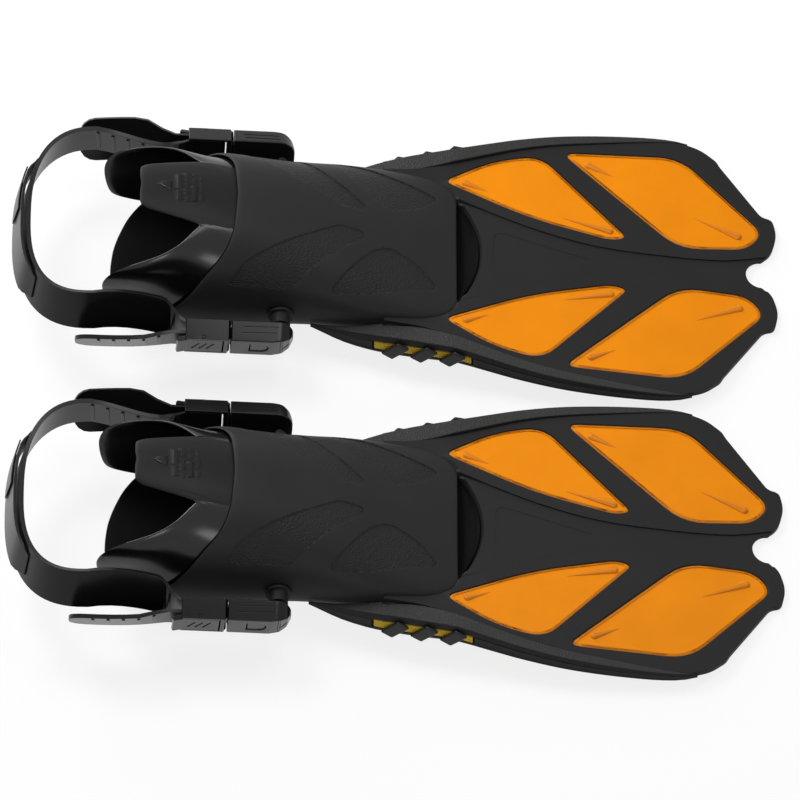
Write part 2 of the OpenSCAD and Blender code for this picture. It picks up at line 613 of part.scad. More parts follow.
// Latch: a spring tongue beside the plug's tongue, with a D-shaped pad that shows in the receiver's window
latch_half_z = 5;
latch_root_gap = 0.1;
latch_thick = 1.5;
latch_y = tunnel_outer_y - 3.4;
pad_top_y = tunnel_outer_y - 0.4;
module latch(side) {
  color(BUCKLE_PLASTIC) at_buckle(side) leaning() {
    translate([plug_front + latch_root_gap, latch_y, -latch_half_z])
      cube([window_rear + 4 - plug_front, latch_thick, 2 * latch_half_z]);
    translate([0, pad_top_y, 0]) rotate([90, 0, 0]) linear_extrude(pad_top_y - latch_y) d_shape(0.6);
  }
}

// ---- heel strap: a band swept along a path of [point, width direction, width, thickness] ----
function from_buckle(p) =  // a point of the buckle's leaning frame, in the fin's frame
  let (ly = p[1] * cos(buckle_lean) + p[2] * sin(buckle_lean),
       lz = -p[1] * sin(buckle_lean) + p[2] * cos(buckle_lean))
    [post_x + p[0] * cos(buckle_pitch) + lz * sin(buckle_pitch), buckle_y + ly,
     post_z - p[0] * sin(buckle_pitch) + lz * cos(buckle_pitch)];
buckle_up = from_buckle([0, 0, 1]) - from_buckle([0, 0, 0]);
// Width direction that leans towards `inward` by an angle
function lean_dir(lean, inward) = [inward[0] * sin(lean), inward[1] * sin(lean), cos(lean)];
tail_lean = 30;
tail_off = 6.5;
tail_bow = 1.5;
tail_rise = 3;
tail_end_reach = 11;
paddle_run = 26;
arm_lean = 14;
arm_y = buckle_y - 6;
arm_bow = 5;
arm_turn = 14;
loop_start_x = -8;
loop_power = 2.5;
strap_exit = 9;
TAIL_STEPS = 6;
END_STEPS = 4;
WRAP_STEPS = 8;
ARM_STEPS = 6;
LOOP_STEPS = 20;
tail_out = from_buckle([plug_rear - strap_exit, strap_out_y, 0]);
arm_in = from_buckle([plug_rear - 1, strap_in_y, 0]);
tail_rear_x = from_buckle([plug_rear, strap_out_y, 0])[0] - tail_length;
// Loose tail: it leaves the buckle straight, then swings outwards; its end is rounded like a paddle
function tail_width(x) =
  let (s = clamp01((x - tail_rear_x) / tail_end_reach), widened = ease((tail_out[0] - x) / paddle_run))
    mix(strap_width, heel_width, widened) - 2 * tail_end_reach * (1 - sqrt(1 - (1 - s) * (1 - s)));
function tail_entry(x) =
  let (f = clamp01((x - tail_rear_x) / (tail_out[0] - tail_rear_x)), back = ease((1 - f) * 3),
       y = tail_out[1] + (tail_off - strap_out_y) * back + tail_bow * sin(180 * f))
    [[x, y, tail_out[2] + tail_rise * back], unit(mix(buckle_up, lean_dir(-tail_lean, [0, -1, 0]), back)),
     tail_width(x), mix(buckle_strap_thick, strap_thick, back)];
function buckle_entry(x, y) = [from_buckle([x, y, 0]), buckle_up, strap_width, buckle_strap_thick];
// Arm: it widens and turns upright just behind the buckle, then bows inwards on its way to the heel loop
function arm_z(x) = mix(arm_in[2] + 4, heel_strap_z + 6, ease((arm_in[0] - x) / 60));
function arm_entry(x) =
  let (turned = ease((arm_in[0] - x) / arm_turn), f = clamp01((arm_in[0] - x) / (arm_in[0] - loop_start_x)),
       y = mix(arm_in[1], arm_y, turned) - arm_bow * sin(180 * pow(f, 0.7)))
    [[x, y, mix(arm_in[2], arm_z(x), turned)],
     unit(mix(buckle_up, lean_dir(arm_lean, [0, -1, 0]), turned)), mix(strap_width, heel_width, turned),
     mix(buckle_strap_thick, strap_thick, turned)];
function loop_entry(k) = let (a = 90 * k / LOOP_STEPS, reach = strap_reach + loop_start_x,
    c = pow(cos(a), 2 / loop_power), s = pow(sin(a), 2 / loop_power))
  [[loop_start_x - reach * s, arm_y * c, mix(arm_z(loop_start_x), heel_strap_z, ease(k / LOOP_STEPS))],
   lean_dir(arm_lean, unit([s, -c, 0])), heel_width, strap_thick];
// Half of the band, on the +Y side, from the tail's end to the middle of the heel
function half_band() = concat(
  [for (k = [0:END_STEPS]) tail_entry(tail_rear_x + tail_end_reach * (1 - cos(90 * k / END_STEPS)))],
  [for (k = [1:TAIL_STEPS]) tail_entry(mix(tail_rear_x + tail_end_reach, tail_out[0], k / TAIL_STEPS))],
  [for (x = [plug_rear - 2, lever_pin_x, wrap_bar_x]) buckle_entry(x, strap_out_y)],
  [for (k = [1:WRAP_STEPS - 1]) let (a = 90 - 180 * k / WRAP_STEPS)
    buckle_entry(wrap_bar_x + wrap_radius * cos(a), wrap_bar_y + wrap_radius * sin(a))],
  [for (x = [wrap_bar_x, lever_pin_x, plug_rear]) buckle_entry(x, strap_in_y)],
  [for (x = [3, 6, 9, 12, 16]) arm_entry(arm_in[0] - x)],
  [for (k = [1:ARM_STEPS]) arm_entry(mix(arm_in[0] - 16, loop_start_x, k / ARM_STEPS))],
  [for (k = [1:LOOP_STEPS]) loop_entry(k)]
);
function mirrored(e) = [[e[0][0], -e[0][1], e[0][2]], [e[1][0], -e[1][1], e[1][2]], e[2], e[3]];
function whole_band() = let (h = half_band()) concat(h, [for (i = [len(h) - 2:-1:0]) mirrored(h[i])]);
// Ring of four corners round entry i of a band, pushed outwards by `out`
function band_ring(band, i, out, width, thick) =
  let (p = band[i][0], before = band[max(0, i - 1)][0], after = band[min(len(band) - 1, i + 1)][0],
       w = band[i][1], n = unit(cross(unit(after - before), w)), c = p + n * out,
       dw = w * width / 2, dn = n * thick / 2)
    [c - dw - dn, c - dw + dn, c + dw + dn, c + dw - dn];
module heel_strap() {
  band = whole_band();
  color(SOFT_RUBBER) loft([for (i = [0:len(band) - 1]) band_ring(band, i, 0, band[i][2], band[i][3])]);
}

// Finger pull: an outer layer over the middle of the heel, lifted off the strap between its thin ends
pull_half = 9;
pull_thick = 2;
pull_end_thick = 0.8;
pull_lift = 1.6;
layer_gap = 0.25;
pull_width = heel_width - 3;
module finger_pull() {
  band = whole_band();
  mid = (len(band) - 1) / 2;
  color(SOFT_RUBBER) loft([for (i = [mid - pull_half:mid + pull_half])
    let (f = 1 - abs(i - mid) / pull_half, thick = mix(pull_end_thick, pull_thick, ease(3 * f)),
         out = strap_thick / 2 + layer_gap + pull_lift * ease(2.5 * f) + thick / 2)
      band_ring(band, i, out, mix(0.6 * heel_width, pull_width, ease(3 * f)), thick)]);
}
badge_from = 1;
badge_steps = 6;
badge_thick = 1;
badge_out = strap_thick / 2 + pull_lift + pull_thick + 2 * layer_gap + badge_thick / 2;
module heel_badge() {
  band = whole_band();
  mid = (len(band) - 1) / 2;
  color(BUCKLE_PLASTIC) loft([for (i = [mid - badge_from - badge_steps:mid - badge_from])
    band_ring(band, i, badge_out, heel_width - 12, badge_thick)]);
}

// ---- the two fins about the middle of their own box ----
band_for_size = whole_band();
pull_out = strap_thick / 2 + layer_gap + pull_lift + pull_thick;
strap_rear_x = min([
  for (i = [0:len(band_for_size) - 1], p = band_ring(band_for_size, i, pull_out, pull_width, 0)) p[0]]);
middle_x = (tip_x + strap_rear_x) / 2;
module left_fin() { translate([-middle_x, fin_pitch / 2, 0]) children(); }
module right_fin() { translate([-middle_x, -fin_pitch / 2, 0]) children(); }

left_fin() foot_pocket();  // left_foot_pocket
left_fin() inner_cuff();  // left_inner_cuff
left_fin() heel_tread();  // left_heel_tread
left_fin() blade_frame();  // left_blade_frame
left_fin() window(toe_window(), 1);  // left_outboard_toe_window
left_fin() window(toe_window(), -1);  // left_inboard_toe_window
left_fin() window(tip_window(), 1);  // left_outboard_tip_window
left_fin() window(tip_window(), -1);  // left_inboard_tip_window
left_fin() rail(1);  // left_outboard_rail
left_fin() rail(-1);  // left_inboard_rail
left_fin() rail_core(1);  // left_outboard_rail_core
left_fin() rail_core(-1);  // left_inboard_rail_core
left_fin() rail_wraps(1);  // left_outboard_rail_wraps
left_fin() rail_wraps(-1);  // left_inboard_rail_wraps
left_fin() strap_posts();  // left_strap_posts
left_fin() receiver(1);  // left_outboard_receiver
left_fin() receiver(-1);  // left_inboard_receiver
left_fin() plug(1);  // left_outboard_plug
left_fin() plug(-1);  // left_inboard_plug
left_fin() lever(1);  // left_outboard_lever
left_fin() lever(-1);  // left_inboard_lever
left_fin() lever_pins();  // left_lever_pins
left_fin() latch(1);  // left_outboard_latch
left_fin() latch(-1);  // left_inboard_latch
left_fin() heel_strap();  // left_heel_strap
left_fin() finger_pull();  // left_finger_pull
left_fin() heel_badge();  // left_heel_badge
right_fin() foot_pocket();  // right_foot_pocket
right_fin() inner_cuff();  // right_inner_cuff
right_fin() heel_tread();  // right_heel_tread
right_fin() blade_frame();  // right_blade_frame
right_fin() window(toe_window(), -1);  // right_outboard_toe_window
right_fin() window(toe_window(), 1);  // right_inboard_toe_window
right_fin() window(tip_window(), -1);  // right_outboard_tip_window
right_fin() window(tip_window(), 1);  // right_inboard_tip_window
right_fin() rail(-1);  // right_outboard_rail
right_fin() rail(1);  // right_inboard_rail
right_fin() rail_core(-1);  // right_outboard_rail_core
right_fin() rail_core(1);  // right_inboard_rail_core
right_fin() rail_wraps(-1);  // right_outboard_rail_wraps
right_fin() rail_wraps(1);  // right_inboard_rail_wraps
right_fin() strap_posts();  // right_strap_posts
right_fin() receiver(-1);  // right_outboard_receiver
right_fin() receiver(1);  // right_inboard_receiver
right_fin() plug(-1);  // right_outboard_plug
right_fin() plug(1);  // right_inboard_plug
right_fin() lever(-1);  // right_outboard_lever
right_fin() lever(1);  // right_inboard_lever
right_fin() lever_pins();  // right_lever_pins
right_fin() latch(-1);  // right_outboard_latch
right_fin() latch(1);  // right_inboard_latch
right_fin() heel_strap();  // right_heel_strap
right_fin() finger_pull();  // right_finger_pull
right_fin() heel_badge();  // right_heel_badge
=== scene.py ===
"""A pair of adjustable open-heel swim fins with orange blade windows, dressed for a plain studio.

Every length is in metres. One fin is made with its heel at x = 0 and its centre line on y = 0, then set down
once for the left fin and once for the right fin.
"""

import json
import logging
import math
from contextlib import contextmanager
from dataclasses import dataclass, field
from enum import Enum
from typing import Callable, Iterable, Iterator, Sequence

import bpy
from mathutils import Matrix, Vector

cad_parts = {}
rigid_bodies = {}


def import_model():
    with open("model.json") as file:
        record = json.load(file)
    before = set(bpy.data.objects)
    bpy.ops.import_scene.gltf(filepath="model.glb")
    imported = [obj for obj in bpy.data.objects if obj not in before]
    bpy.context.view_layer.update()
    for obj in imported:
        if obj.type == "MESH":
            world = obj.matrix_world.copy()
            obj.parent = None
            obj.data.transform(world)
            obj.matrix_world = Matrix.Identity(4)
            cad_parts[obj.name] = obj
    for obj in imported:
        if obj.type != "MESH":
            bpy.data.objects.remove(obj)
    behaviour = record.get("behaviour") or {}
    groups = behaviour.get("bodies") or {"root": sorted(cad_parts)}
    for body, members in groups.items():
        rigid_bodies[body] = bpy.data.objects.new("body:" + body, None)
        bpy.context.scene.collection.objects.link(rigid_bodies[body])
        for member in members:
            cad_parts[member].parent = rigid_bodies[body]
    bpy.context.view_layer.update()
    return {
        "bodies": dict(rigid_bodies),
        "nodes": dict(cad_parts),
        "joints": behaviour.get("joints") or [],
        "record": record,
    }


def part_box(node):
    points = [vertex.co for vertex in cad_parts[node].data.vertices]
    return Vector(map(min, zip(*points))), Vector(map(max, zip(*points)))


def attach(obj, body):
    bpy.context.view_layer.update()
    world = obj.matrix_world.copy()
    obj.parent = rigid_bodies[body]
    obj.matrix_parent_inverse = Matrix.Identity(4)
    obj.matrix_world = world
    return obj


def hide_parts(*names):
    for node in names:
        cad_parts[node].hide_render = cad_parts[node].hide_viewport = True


LOG = logging.getLogger("fins")
MM = 0.001
CLEAR = 0.2  # higher and further across than anything on a fin, so that a line from there meets its outside
WELD = 0.001 * MM  # points closer than this are one
STRAIGHT = 0.98  # the part of a normal that lies along a direction when it points straight that way
MAINLY = 0.9  # and when it points mainly that way
SPARE = 0.45  # the share of a face's width or of an edge's length that one rounding may take
ALONG, ACROSS, UP = Vector((1, 0, 0)), Vector((0, 1, 0)), Vector((0, 0, 1))

Triple = tuple[float, float, float]
Point = tuple[float, float]
Test = Callable[[Vector, Vector], bool]
Share = Callable[[Vector, Vector], float]
Ridge = tuple[Point, Point]


class Side(Enum):
    """The two sides of a fin: the +Y side and the -Y side."""

    FAR = 1
    NEAR = -1


class Fin(Enum):
    """The two fins of the pair; the value is the sign of the fin's y."""

    LEFT = 1
    RIGHT = -1

    @property
    def word(self) -> str:
        """The prefix of this fin's nodes and bodies."""
        return self.name.lower()

    def edge_word(self, side: Side) -> str:
        """Which edge of the fin a side is: the outboard or the inboard one."""
        return "outboard" if side.value == self.value else "inboard"


# ---------------------------------------------------------------- finishes


@dataclass(frozen=True)
class Web:
    """A node tree, with short ways to add nodes to it and to join them."""

    tree: bpy.types.NodeTree

    def add(self, kind: str, **settings: float | tuple[float, ...]) -> bpy.types.Node:
        """Adds a node and sets its inputs.

        Args:
            kind: The node's type, without the word ShaderNode.
            settings: The value of each input that is set, by the input's name.

        Returns:
            The new node.
        """
        node = self.tree.nodes.new(f"ShaderNode{kind}")
        for name, value in settings.items():
            node.inputs[name].default_value = value
        return node

    def join(self, source: bpy.types.NodeSocket, target: bpy.types.NodeSocket) -> None:
        """Joins a node's output to another node's input."""
        self.tree.links.new(source, target)


@dataclass(frozen=True)
class Finish:
    """A surface finish: a colour, a gloss and up to two layers of fine relief."""

    name: str
    colour: Triple
    roughness: float
    specular: float = 0.5
    grain: float = 0.0
    grain_size: float = 0.0008
    pebble: float = 0.0
    pebble_size: float = 0.0016
    wear: float = 0.0
    wear_scale: float = 22.0
    subsurface: float = 0.0
    scatter: Triple = (0.004, 0.0015, 0.0004)
    # a darker colour near a window's edge: painted shade where the window meets the frame
    rim_colour: Triple | None = None

    def material(self) -> bpy.types.Material:
        """Makes the material, or finds it if it was made before.

        Returns:
            The material of this finish.
        """
        made = bpy.data.materials.get(self.name)
        if made:
            return made
        material = bpy.data.materials.new(self.name)
        material.use_nodes = True
        web = Web(material.node_tree)
        shader = web.tree.nodes["Principled BSDF"].inputs
        shader["Base Color"].default_value = (*self.colour, 1.0)
        shader["Roughness"].default_value = self.roughness
        shader["Specular IOR Level"].default_value = self.specular
        if self.subsurface:
            shader["Subsurface Weight"].default_value = self.subsurface
            shader["Subsurface Radius"].default_value = self.scatter
        place = web.add("TexCoord").outputs["Object"]
        normal = None
        if self.grain:
            noise = web.add("TexNoise", Scale=1.0 / self.grain_size, Detail=2.0)
            web.join(place, noise.inputs["Vector"])
            normal = self._relief(web, noise.outputs["Fac"], self.grain)
        if self.pebble:
            cells = web.add("TexVoronoi", Scale=1.0 / self.pebble_size)
            cells.feature = "SMOOTH_F1"
            web.join(place, cells.inputs["Vector"])
            normal = self._relief(web, cells.outputs["Distance"], self.pebble, normal)
        if normal:
            web.join(normal, shader["Normal"])
        if self.wear:
            colour = self._mottle(web, place)
            web.join(self._rim(web, colour) if self.rim_colour else colour, shader["Base Color"])
        return material

    @staticmethod
    def _relief(web: Web, height: bpy.types.NodeSocket, depth: float,
                below: bpy.types.NodeSocket | None = None) -> bpy.types.NodeSocket:
        """Adds a layer of relief on top of the layer below it.

        Args:
            web: The material's nodes.
            height: The socket that gives the height.
            depth: How deep the relief is.
            below: The normal of the layer under it, if there is one.

        Returns:
            The normal of the new layer.
        """
        bump = web.add("Bump", Strength=1.0, Distance=depth)
        web.join(height, bump.inputs["Height"])
        if below:
            web.join(below, bump.inputs["Normal"])
        return bump.outputs["Normal"]

    def _mottle(self, web: Web, place: bpy.types.NodeSocket) -> bpy.types.NodeSocket:
        """Lets the colour drift a little over the surface.

        Args:
            web: The material's nodes.
            place: The socket of the object's coordinates.

        Returns:
            The socket of the drifting colour.
        """
        noise = web.add("TexNoise", Scale=self.wear_scale, Detail=3.0)
        ramp = web.add("ValToRGB")
        for stop, position, level in zip(ramp.color_ramp.elements, (0.35, 0.65), (1 - self.wear, 1 + self.wear)):
            stop.position = position
            stop.color = (*(part * level for part in self.colour), 1.0)
        web.join(place, noise.inputs["Vector"])
        web.join(noise.outputs["Fac"], ramp.inputs["Fac"])
        return ramp.outputs["Color"]

    def _rim(self, web: Web, colour: bpy.types.NodeSocket) -> bpy.types.NodeSocket:
        """Paints shade near the window's edge: the colour goes over to the darker rim colour by the mesh's values
        at each point.

        Args:
            web: The material's nodes.
            colour: The socket of the middle's colour.

        Returns:
            The socket of the whole colour.
        """
        rim = web.add("Attribute")
        rim.attribute_name = "rim"
        mix = web.add("Mix")
        mix.data_type = "RGBA"
        mix.inputs["B"].default_value = (*self.rim_colour, 1.0)
        web.join(rim.outputs["Fac"], mix.inputs["Factor"])
        web.join(colour, mix.inputs["A"])
        return mix.outputs["Result"]


class Finishes:
    """Every finish of the fins."""

    POCKET = Finish("pocket rubber", (0.0155, 0.0152, 0.0152), 0.5, specular=0.1, grain=0.00002, wear=0.07)
    POCKET_PEBBLE = Finish(
        "pebbled pocket rubber", (0.0118, 0.0115, 0.0115), 0.48, specular=0.12,
        pebble=0.00055, pebble_size=0.0011)
    # painted shade: the inside of the pocket is the same rubber as the outside, painted near-black where it lies
    # in shade
    LINING = Finish("pocket lining", (0.004, 0.004, 0.004), 0.7, specular=0.03)
    CUFF = Finish("cuff rubber", (0.004, 0.004, 0.0042), 0.2, specular=0.34)
    TONGUE = Finish("tongue rubber", (0.0085, 0.0085, 0.0085), 0.42, specular=0.1, grain=0.00001)
    TREAD = Finish("tread rubber", (0.012, 0.012, 0.012), 0.6, specular=0.15, grain=0.00003)
    FRAME = Finish("blade frame rubber", (0.0125, 0.012, 0.0122), 0.5, specular=0.1, grain=0.00002, wear=0.05)
    RAIL = Finish("rail rubber", (0.0135, 0.013, 0.013), 0.5, specular=0.1, grain=0.00002)
    RAIL_GRAIN = Finish(
        "grained rail rubber", (0.0205, 0.02, 0.0197), 0.5, specular=0.15, pebble=0.00045, pebble_size=0.0009)
    # the window's rim colour is a darker orange: painted shade along the edge next to the frame
    WINDOW = Finish(
        "orange window", (0.74, 0.228, 0.001), 0.4, specular=0.1, subsurface=0.15, wear=0.04,
        rim_colour=(0.53, 0.17, 0.015))
    CORE = Finish("yellow core", (0.46, 0.30, 0.012), 0.45, specular=0.15, wear=0.05)
    WRAP = Finish("wrap rubber", (0.01, 0.01, 0.0105), 0.4, specular=0.2)
    BUCKLE = Finish(
        "buckle plastic", (0.006, 0.006, 0.0062), 0.2, specular=0.16, grain=0.000006, grain_size=0.002)
    POST = Finish("post plastic", (0.014, 0.0137, 0.0137), 0.5, specular=0.13)
    STRAP = Finish("strap rubber", (0.005, 0.005, 0.0052), 0.28, specular=0.2)
    BADGE = Finish("badge plastic", (0.006, 0.006, 0.006), 0.3, specular=0.15)


# ---------------------------------------------------------------- the bench: small modelling steps


def deselect() -> None:
    """Leaves nothing selected."""
    for thing in bpy.context.selected_objects:
        thing.select_set(False)


def focus(piece: bpy.types.Object) -> None:
    """Selects one object alone and makes it the active one.

    Args:
        piece: The object.
    """
    deselect()
    piece.select_set(True)
    bpy.context.view_layer.objects.active = piece


@contextmanager
def editing(piece: bpy.types.Object, mode: str = "VERT", whole: bool = False) -> Iterator[None]:
    """Edit mode on a piece, for the length of a with block.

    Args:
        piece: The object to edit.
        mode: VERT, EDGE or FACE, what is selected by.
        whole: Whether all of it is selected first.

    Yields:
        Nothing; the piece is in edit mode meanwhile.
    """
    focus(piece)
    bpy.context.tool_settings.mesh_select_mode = (mode == "VERT", mode == "EDGE", mode == "FACE")
    bpy.ops.object.mode_set(mode="EDIT")
    if whole:
        bpy.ops.mesh.select_all(action="SELECT")
    try:
        yield
    finally:
        bpy.ops.object.mode_set(mode="OBJECT")


def pick_none(piece: bpy.types.Object) -> None:
    """Deselects every vertex, edge and face of a piece.

    Args:
        piece: The object to deselect on.
    """
    mesh = piece.data
    for group in (mesh.vertices, mesh.edges, mesh.polygons):
        group.foreach_set("select", [False] * len(group))


def pick_faces(piece: bpy.types.Object, test: Test) -> int:
    """Selects the faces whose middle and normal pass a test.

    Args:
        piece: The object to select on.
        test: Takes a face's middle and its normal.

    Returns:
        How many faces were selected.
    """
    pick_none(piece)
    count = 0
    for face in piece.data.polygons:
        face.select = bool(test(face.center, face.normal))
        count += face.select
    return count


def pick_edges(piece: bpy.types.Object, test: Test) -> int:
    """Selects the edges whose middle and direction pass a test.

    Args:
        piece: The object to select on.
        test: Takes an edge's middle and its vector.

    Returns:
        How many edges were selected.
    """
    pick_none(piece)
    points = piece.data.vertices
    count = 0
    for edge in piece.data.edges:
        a, b = (points[i].co for i in edge.vertices)
        edge.select = bool(test((a + b) / 2, b - a))
        count += edge.select
    return count


def apply_all(piece: bpy.types.Object) -> bpy.types.Object:
    """Applies a piece's modifiers, in their order.

    Args:
        piece: The object.

    Returns:
        The same object.
    """
    focus(piece)
    for modifier in list(piece.modifiers):
        bpy.ops.object.modifier_apply(modifier=modifier.name)
    return piece


def settle(piece: bpy.types.Object) -> bpy.types.Object:
    """Puts a piece's place, turn and scale into its mesh.

    Args:
        piece: The object.

    Returns:
        The same object.
    """
    focus(piece)
    bpy.ops.object.transform_apply(location=True, rotation=True, scale=True)
    return piece


def flatten(piece: bpy.types.Object, angle: float = 1.0) -> bpy.types.Object:
    """Joins a piece's triangles into whole faces.

    Args:
        piece: The object to flatten.
        angle: Faces that turn less than this, in degrees, become one.

    Returns:
        The same object.
    """
    with editing(piece, "FACE", whole=True):
        bpy.ops.mesh.dissolve_limited(angle_limit=math.radians(angle))
    return piece


def split_inward(piece: bpy.types.Object) -> bpy.types.Object:
    """Splits a piece's faces at their inward corners, so that every face is convex.

    Args:
        piece: The object to split.

    Returns:
        The same object.
    """
    with editing(piece, "FACE", whole=True):
        bpy.ops.mesh.vert_connect_concave()
    return piece


def quads(piece: bpy.types.Object) -> bpy.types.Object:
    """Turns a lofted mesh's triangles back into its four-sided faces.

    Args:
        piece: The lofted object.

    Returns:
        The same object.
    """
    with editing(piece, "FACE", whole=True):
        bpy.ops.mesh.tris_convert_to_quads(face_threshold=math.radians(60), shape_threshold=math.radians(70))
    return piece


def smooth_skin(piece: bpy.types.Object, levels: int) -> bpy.types.Object:
    """Subdivides a piece, so that its skin runs smoothly.

    Args:
        piece: The object to smooth.
        levels: How many times it is subdivided.

    Returns:
        The same object.
    """
    skin = piece.modifiers.new("skin", "SUBSURF")
    skin.levels = skin.render_levels = levels
    return apply_all(piece)


def rounding_room(mesh: bpy.types.Mesh, sharp: set[int]) -> dict[int, float]:
    """Finds how wide each sharp edge can be rounded before it runs into its neighbours.

    Args:
        mesh: The mesh to look at.
        sharp: The indices of its sharp edges.

    Returns:
        The room at each sharp edge, by its index.
    """
    slight, clear = 0.05, 0.4  # turns in radians
    room = dict.fromkeys(sharp, 1.0)
    for face in mesh.polygons:
        edges = [mesh.loops[i].edge_index for i in face.loop_indices]
        points = [mesh.vertices[i].co for i in face.vertices]
        runs = [after - before for before, after in zip(points, points[1:] + points[:1])]
        around = sum(run.length for run in runs)
        for one, two, run, following in zip(edges, edges[1:] + edges[:1], runs, runs[1:] + runs[:1]):
            turn = run.angle(following, 0.0)
            if one in sharp:
                across = face.area / run.length if len(runs) <= 4 else 2 * face.area / around
                room[one] = min(room[one], SPARE * across)
            if one in sharp and two in sharp:
                if turn > slight and run.cross(following).dot(face.normal) > 0:
                    reach = SPARE * min(run.length, following.length) / math.tan(turn / 2)
                    room[one], room[two] = min(room[one], reach), min(room[two], reach)
            elif (one in sharp or two in sharp) and turn > clear:
                edge, other = (one, following) if one in sharp else (two, run)
                room[edge] = min(room[edge], 0.8 * other.length * math.sin(turn))
    level_chains(mesh, room)
    return room


def level_chains(mesh: bpy.types.Mesh, room: dict[int, float]) -> None:
    """Gives the edges of one smooth line the same room, the least of them.

    Args:
        mesh: The mesh they are on.
        room: The room at each sharp edge; it is changed.
    """
    straight_on = -0.8
    at_point: dict[int, list[tuple[int, Vector]]] = {}
    for index in room:
        a, b = mesh.edges[index].vertices
        run = (mesh.vertices[b].co - mesh.vertices[a].co).normalized()
        at_point.setdefault(a, []).append((index, run))
        at_point.setdefault(b, []).append((index, -run))
    beside: dict[int, list[int]] = {index: [] for index in room}
    for ends in at_point.values():
        for i, (one, way) in enumerate(ends):
            for two, other in ends[i + 1:]:
                if way.dot(other) < straight_on:
                    beside[one].append(two)
                    beside[two].append(one)
    waiting = sorted(room, key=room.get)
    while waiting:
        one = waiting.pop(0)
        for two in beside[one]:
            if room[two] > room[one]:
                room[two] = room[one]
                waiting.append(two)


def soften(piece: bpy.types.Object, width: float, steps: int = 3, angle: float = 32.0,
           share: Share | None = None) -> bpy.types.Object:
    """Rounds a piece's sharp edges, each as far as the faces beside it leave room.

    Args:
        piece: The object to round.
        width: The widest rounding.
        steps: Faces across the rounding.
        angle: Edges that turn more than this, in degrees, are rounded.
        share: Gives an edge's share of the width from its middle and its vector.

    Returns:
        The same object.
    """
    mesh = piece.data
    faces: dict[tuple[int, int], list[bpy.types.MeshPolygon]] = {}
    for face in mesh.polygons:
        for key in face.edge_keys:
            faces.setdefault(key, []).append(face)
    shares: dict[int, float] = {}
    for edge in mesh.edges:
        beside = faces.get(edge.key, [])
        if len(beside) == 2 and beside[0].normal.angle(beside[1].normal, 0.0) > math.radians(angle):
            a, b = (mesh.vertices[i].co for i in edge.vertices)
            shares[edge.index] = share((a + b) / 2, b - a) if share else 1.0
    room = rounding_room(mesh, set(shares)) if share is None else {}
    weights = [0.0] * len(mesh.edges)
    for index, part in shares.items():
        weights[index] = min(part, room.get(index, width) / width)
    mesh.attributes.new("bevel_weight_edge", "FLOAT", "EDGE").data.foreach_set("value", weights)
    bevel = piece.modifiers.new("rounding", "BEVEL")
    bevel.width = width
    bevel.segments = steps
    bevel.limit_method = "WEIGHT"
    bevel.use_clamp_overlap = False
    return apply_all(piece)


def shade(piece: bpy.types.Object, angle: float = 35.0) -> bpy.types.Object:
    """Shades a piece smooth, with its sharp edges kept sharp and its large faces kept flat.

    Args:
        piece: The object to shade.
        angle: Edges that turn more than this, in degrees, stay sharp.

    Returns:
        The same object.
    """
    focus(piece)
    bpy.ops.object.shade_smooth_by_angle(angle=math.radians(angle))
    weighted = piece.modifiers.new("weighted", "WEIGHTED_NORMAL")
    weighted.keep_sharp = True
    return apply_all(piece)


def paint(piece: bpy.types.Object, *finishes: Finish) -> bpy.types.Object:
    """Gives a piece its finishes, one material slot each.

    Args:
        piece: The object to dress.
        finishes: The finishes, in the order of their slots.

    Returns:
        The same object.
    """
    piece.data.materials.clear()
    for finish in finishes:
        piece.data.materials.append(finish.material())
    return piece


def paint_faces(piece: bpy.types.Object, slot: int, test: Test) -> None:
    """Gives the faces that pass a test the finish in a slot.

    Args:
        piece: The object to dress.
        slot: The number of the slot.
        test: Takes a face's middle and its normal.
    """
    for face in piece.data.polygons:
        if test(face.center, face.normal):
            face.material_index = slot


def outward(piece: bpy.types.Object) -> bpy.types.Object:
    """Merges a piece's doubles and points its faces outwards.

    Args:
        piece: The object.

    Returns:
        The same object.
    """
    with editing(piece, whole=True):
        bpy.ops.mesh.remove_doubles(threshold=WELD)
        bpy.ops.mesh.normals_make_consistent(inside=False)
    return piece


def mirrored(piece: bpy.types.Object, name: str) -> bpy.types.Object:
    """Copies a piece to the other side of the fin.

    Args:
        piece: The piece to copy.
        name: The copy's name.

    Returns:
        The copy, with its faces outwards.
    """
    twin = piece.copy()
    twin.data = piece.data.copy()
    twin.name = name
    bpy.context.scene.collection.objects.link(twin)
    twin.data.transform(Matrix.Scale(-1, 4, ACROSS))
    twin.data.flip_normals()
    return twin


def join(pieces: Sequence[bpy.types.Object], name: str) -> bpy.types.Object:
    """Joins several objects into the first and names it.

    Args:
        pieces: The objects to join.
        name: The joined object's name.

    Returns:
        The joined object.
    """
    deselect()
    for piece in pieces:
        piece.select_set(True)
    bpy.context.view_layer.objects.active = pieces[0]
    bpy.ops.object.join()
    pieces[0].name = name
    return pieces[0]


def combine(piece: bpy.types.Object, other: bpy.types.Object, operation: str = "DIFFERENCE") -> bpy.types.Object:
    """Cuts one closed shape out of another, or fuses the two, and removes the second.

    Args:
        piece: The object that is changed.
        other: The shape taken out of it or added to it.
        operation: DIFFERENCE or UNION.

    Returns:
        The changed object.
    """
    change = piece.modifiers.new("change", "BOOLEAN")
    change.operation = operation
    change.solver = "EXACT"
    change.object = other
    apply_all(piece)
    bpy.data.objects.remove(other)
    return piece


def hit(piece: bpy.types.Object, start: Sequence[float], way: Sequence[float]) -> tuple[Vector, Vector]:
    """Finds where a straight line first meets a piece.

    Args:
        piece: The object to meet, at the origin and unturned.
        start: Where the line starts.
        way: Where it heads.

    Returns:
        The point, and the skin's normal there.
    """
    found, place, normal, _ = piece.ray_cast(Vector(start), Vector(way).normalized())
    if not found:
        raise ValueError(f"nothing of {piece.name} lies from {tuple(start)} along {tuple(way)}")
    return place, normal


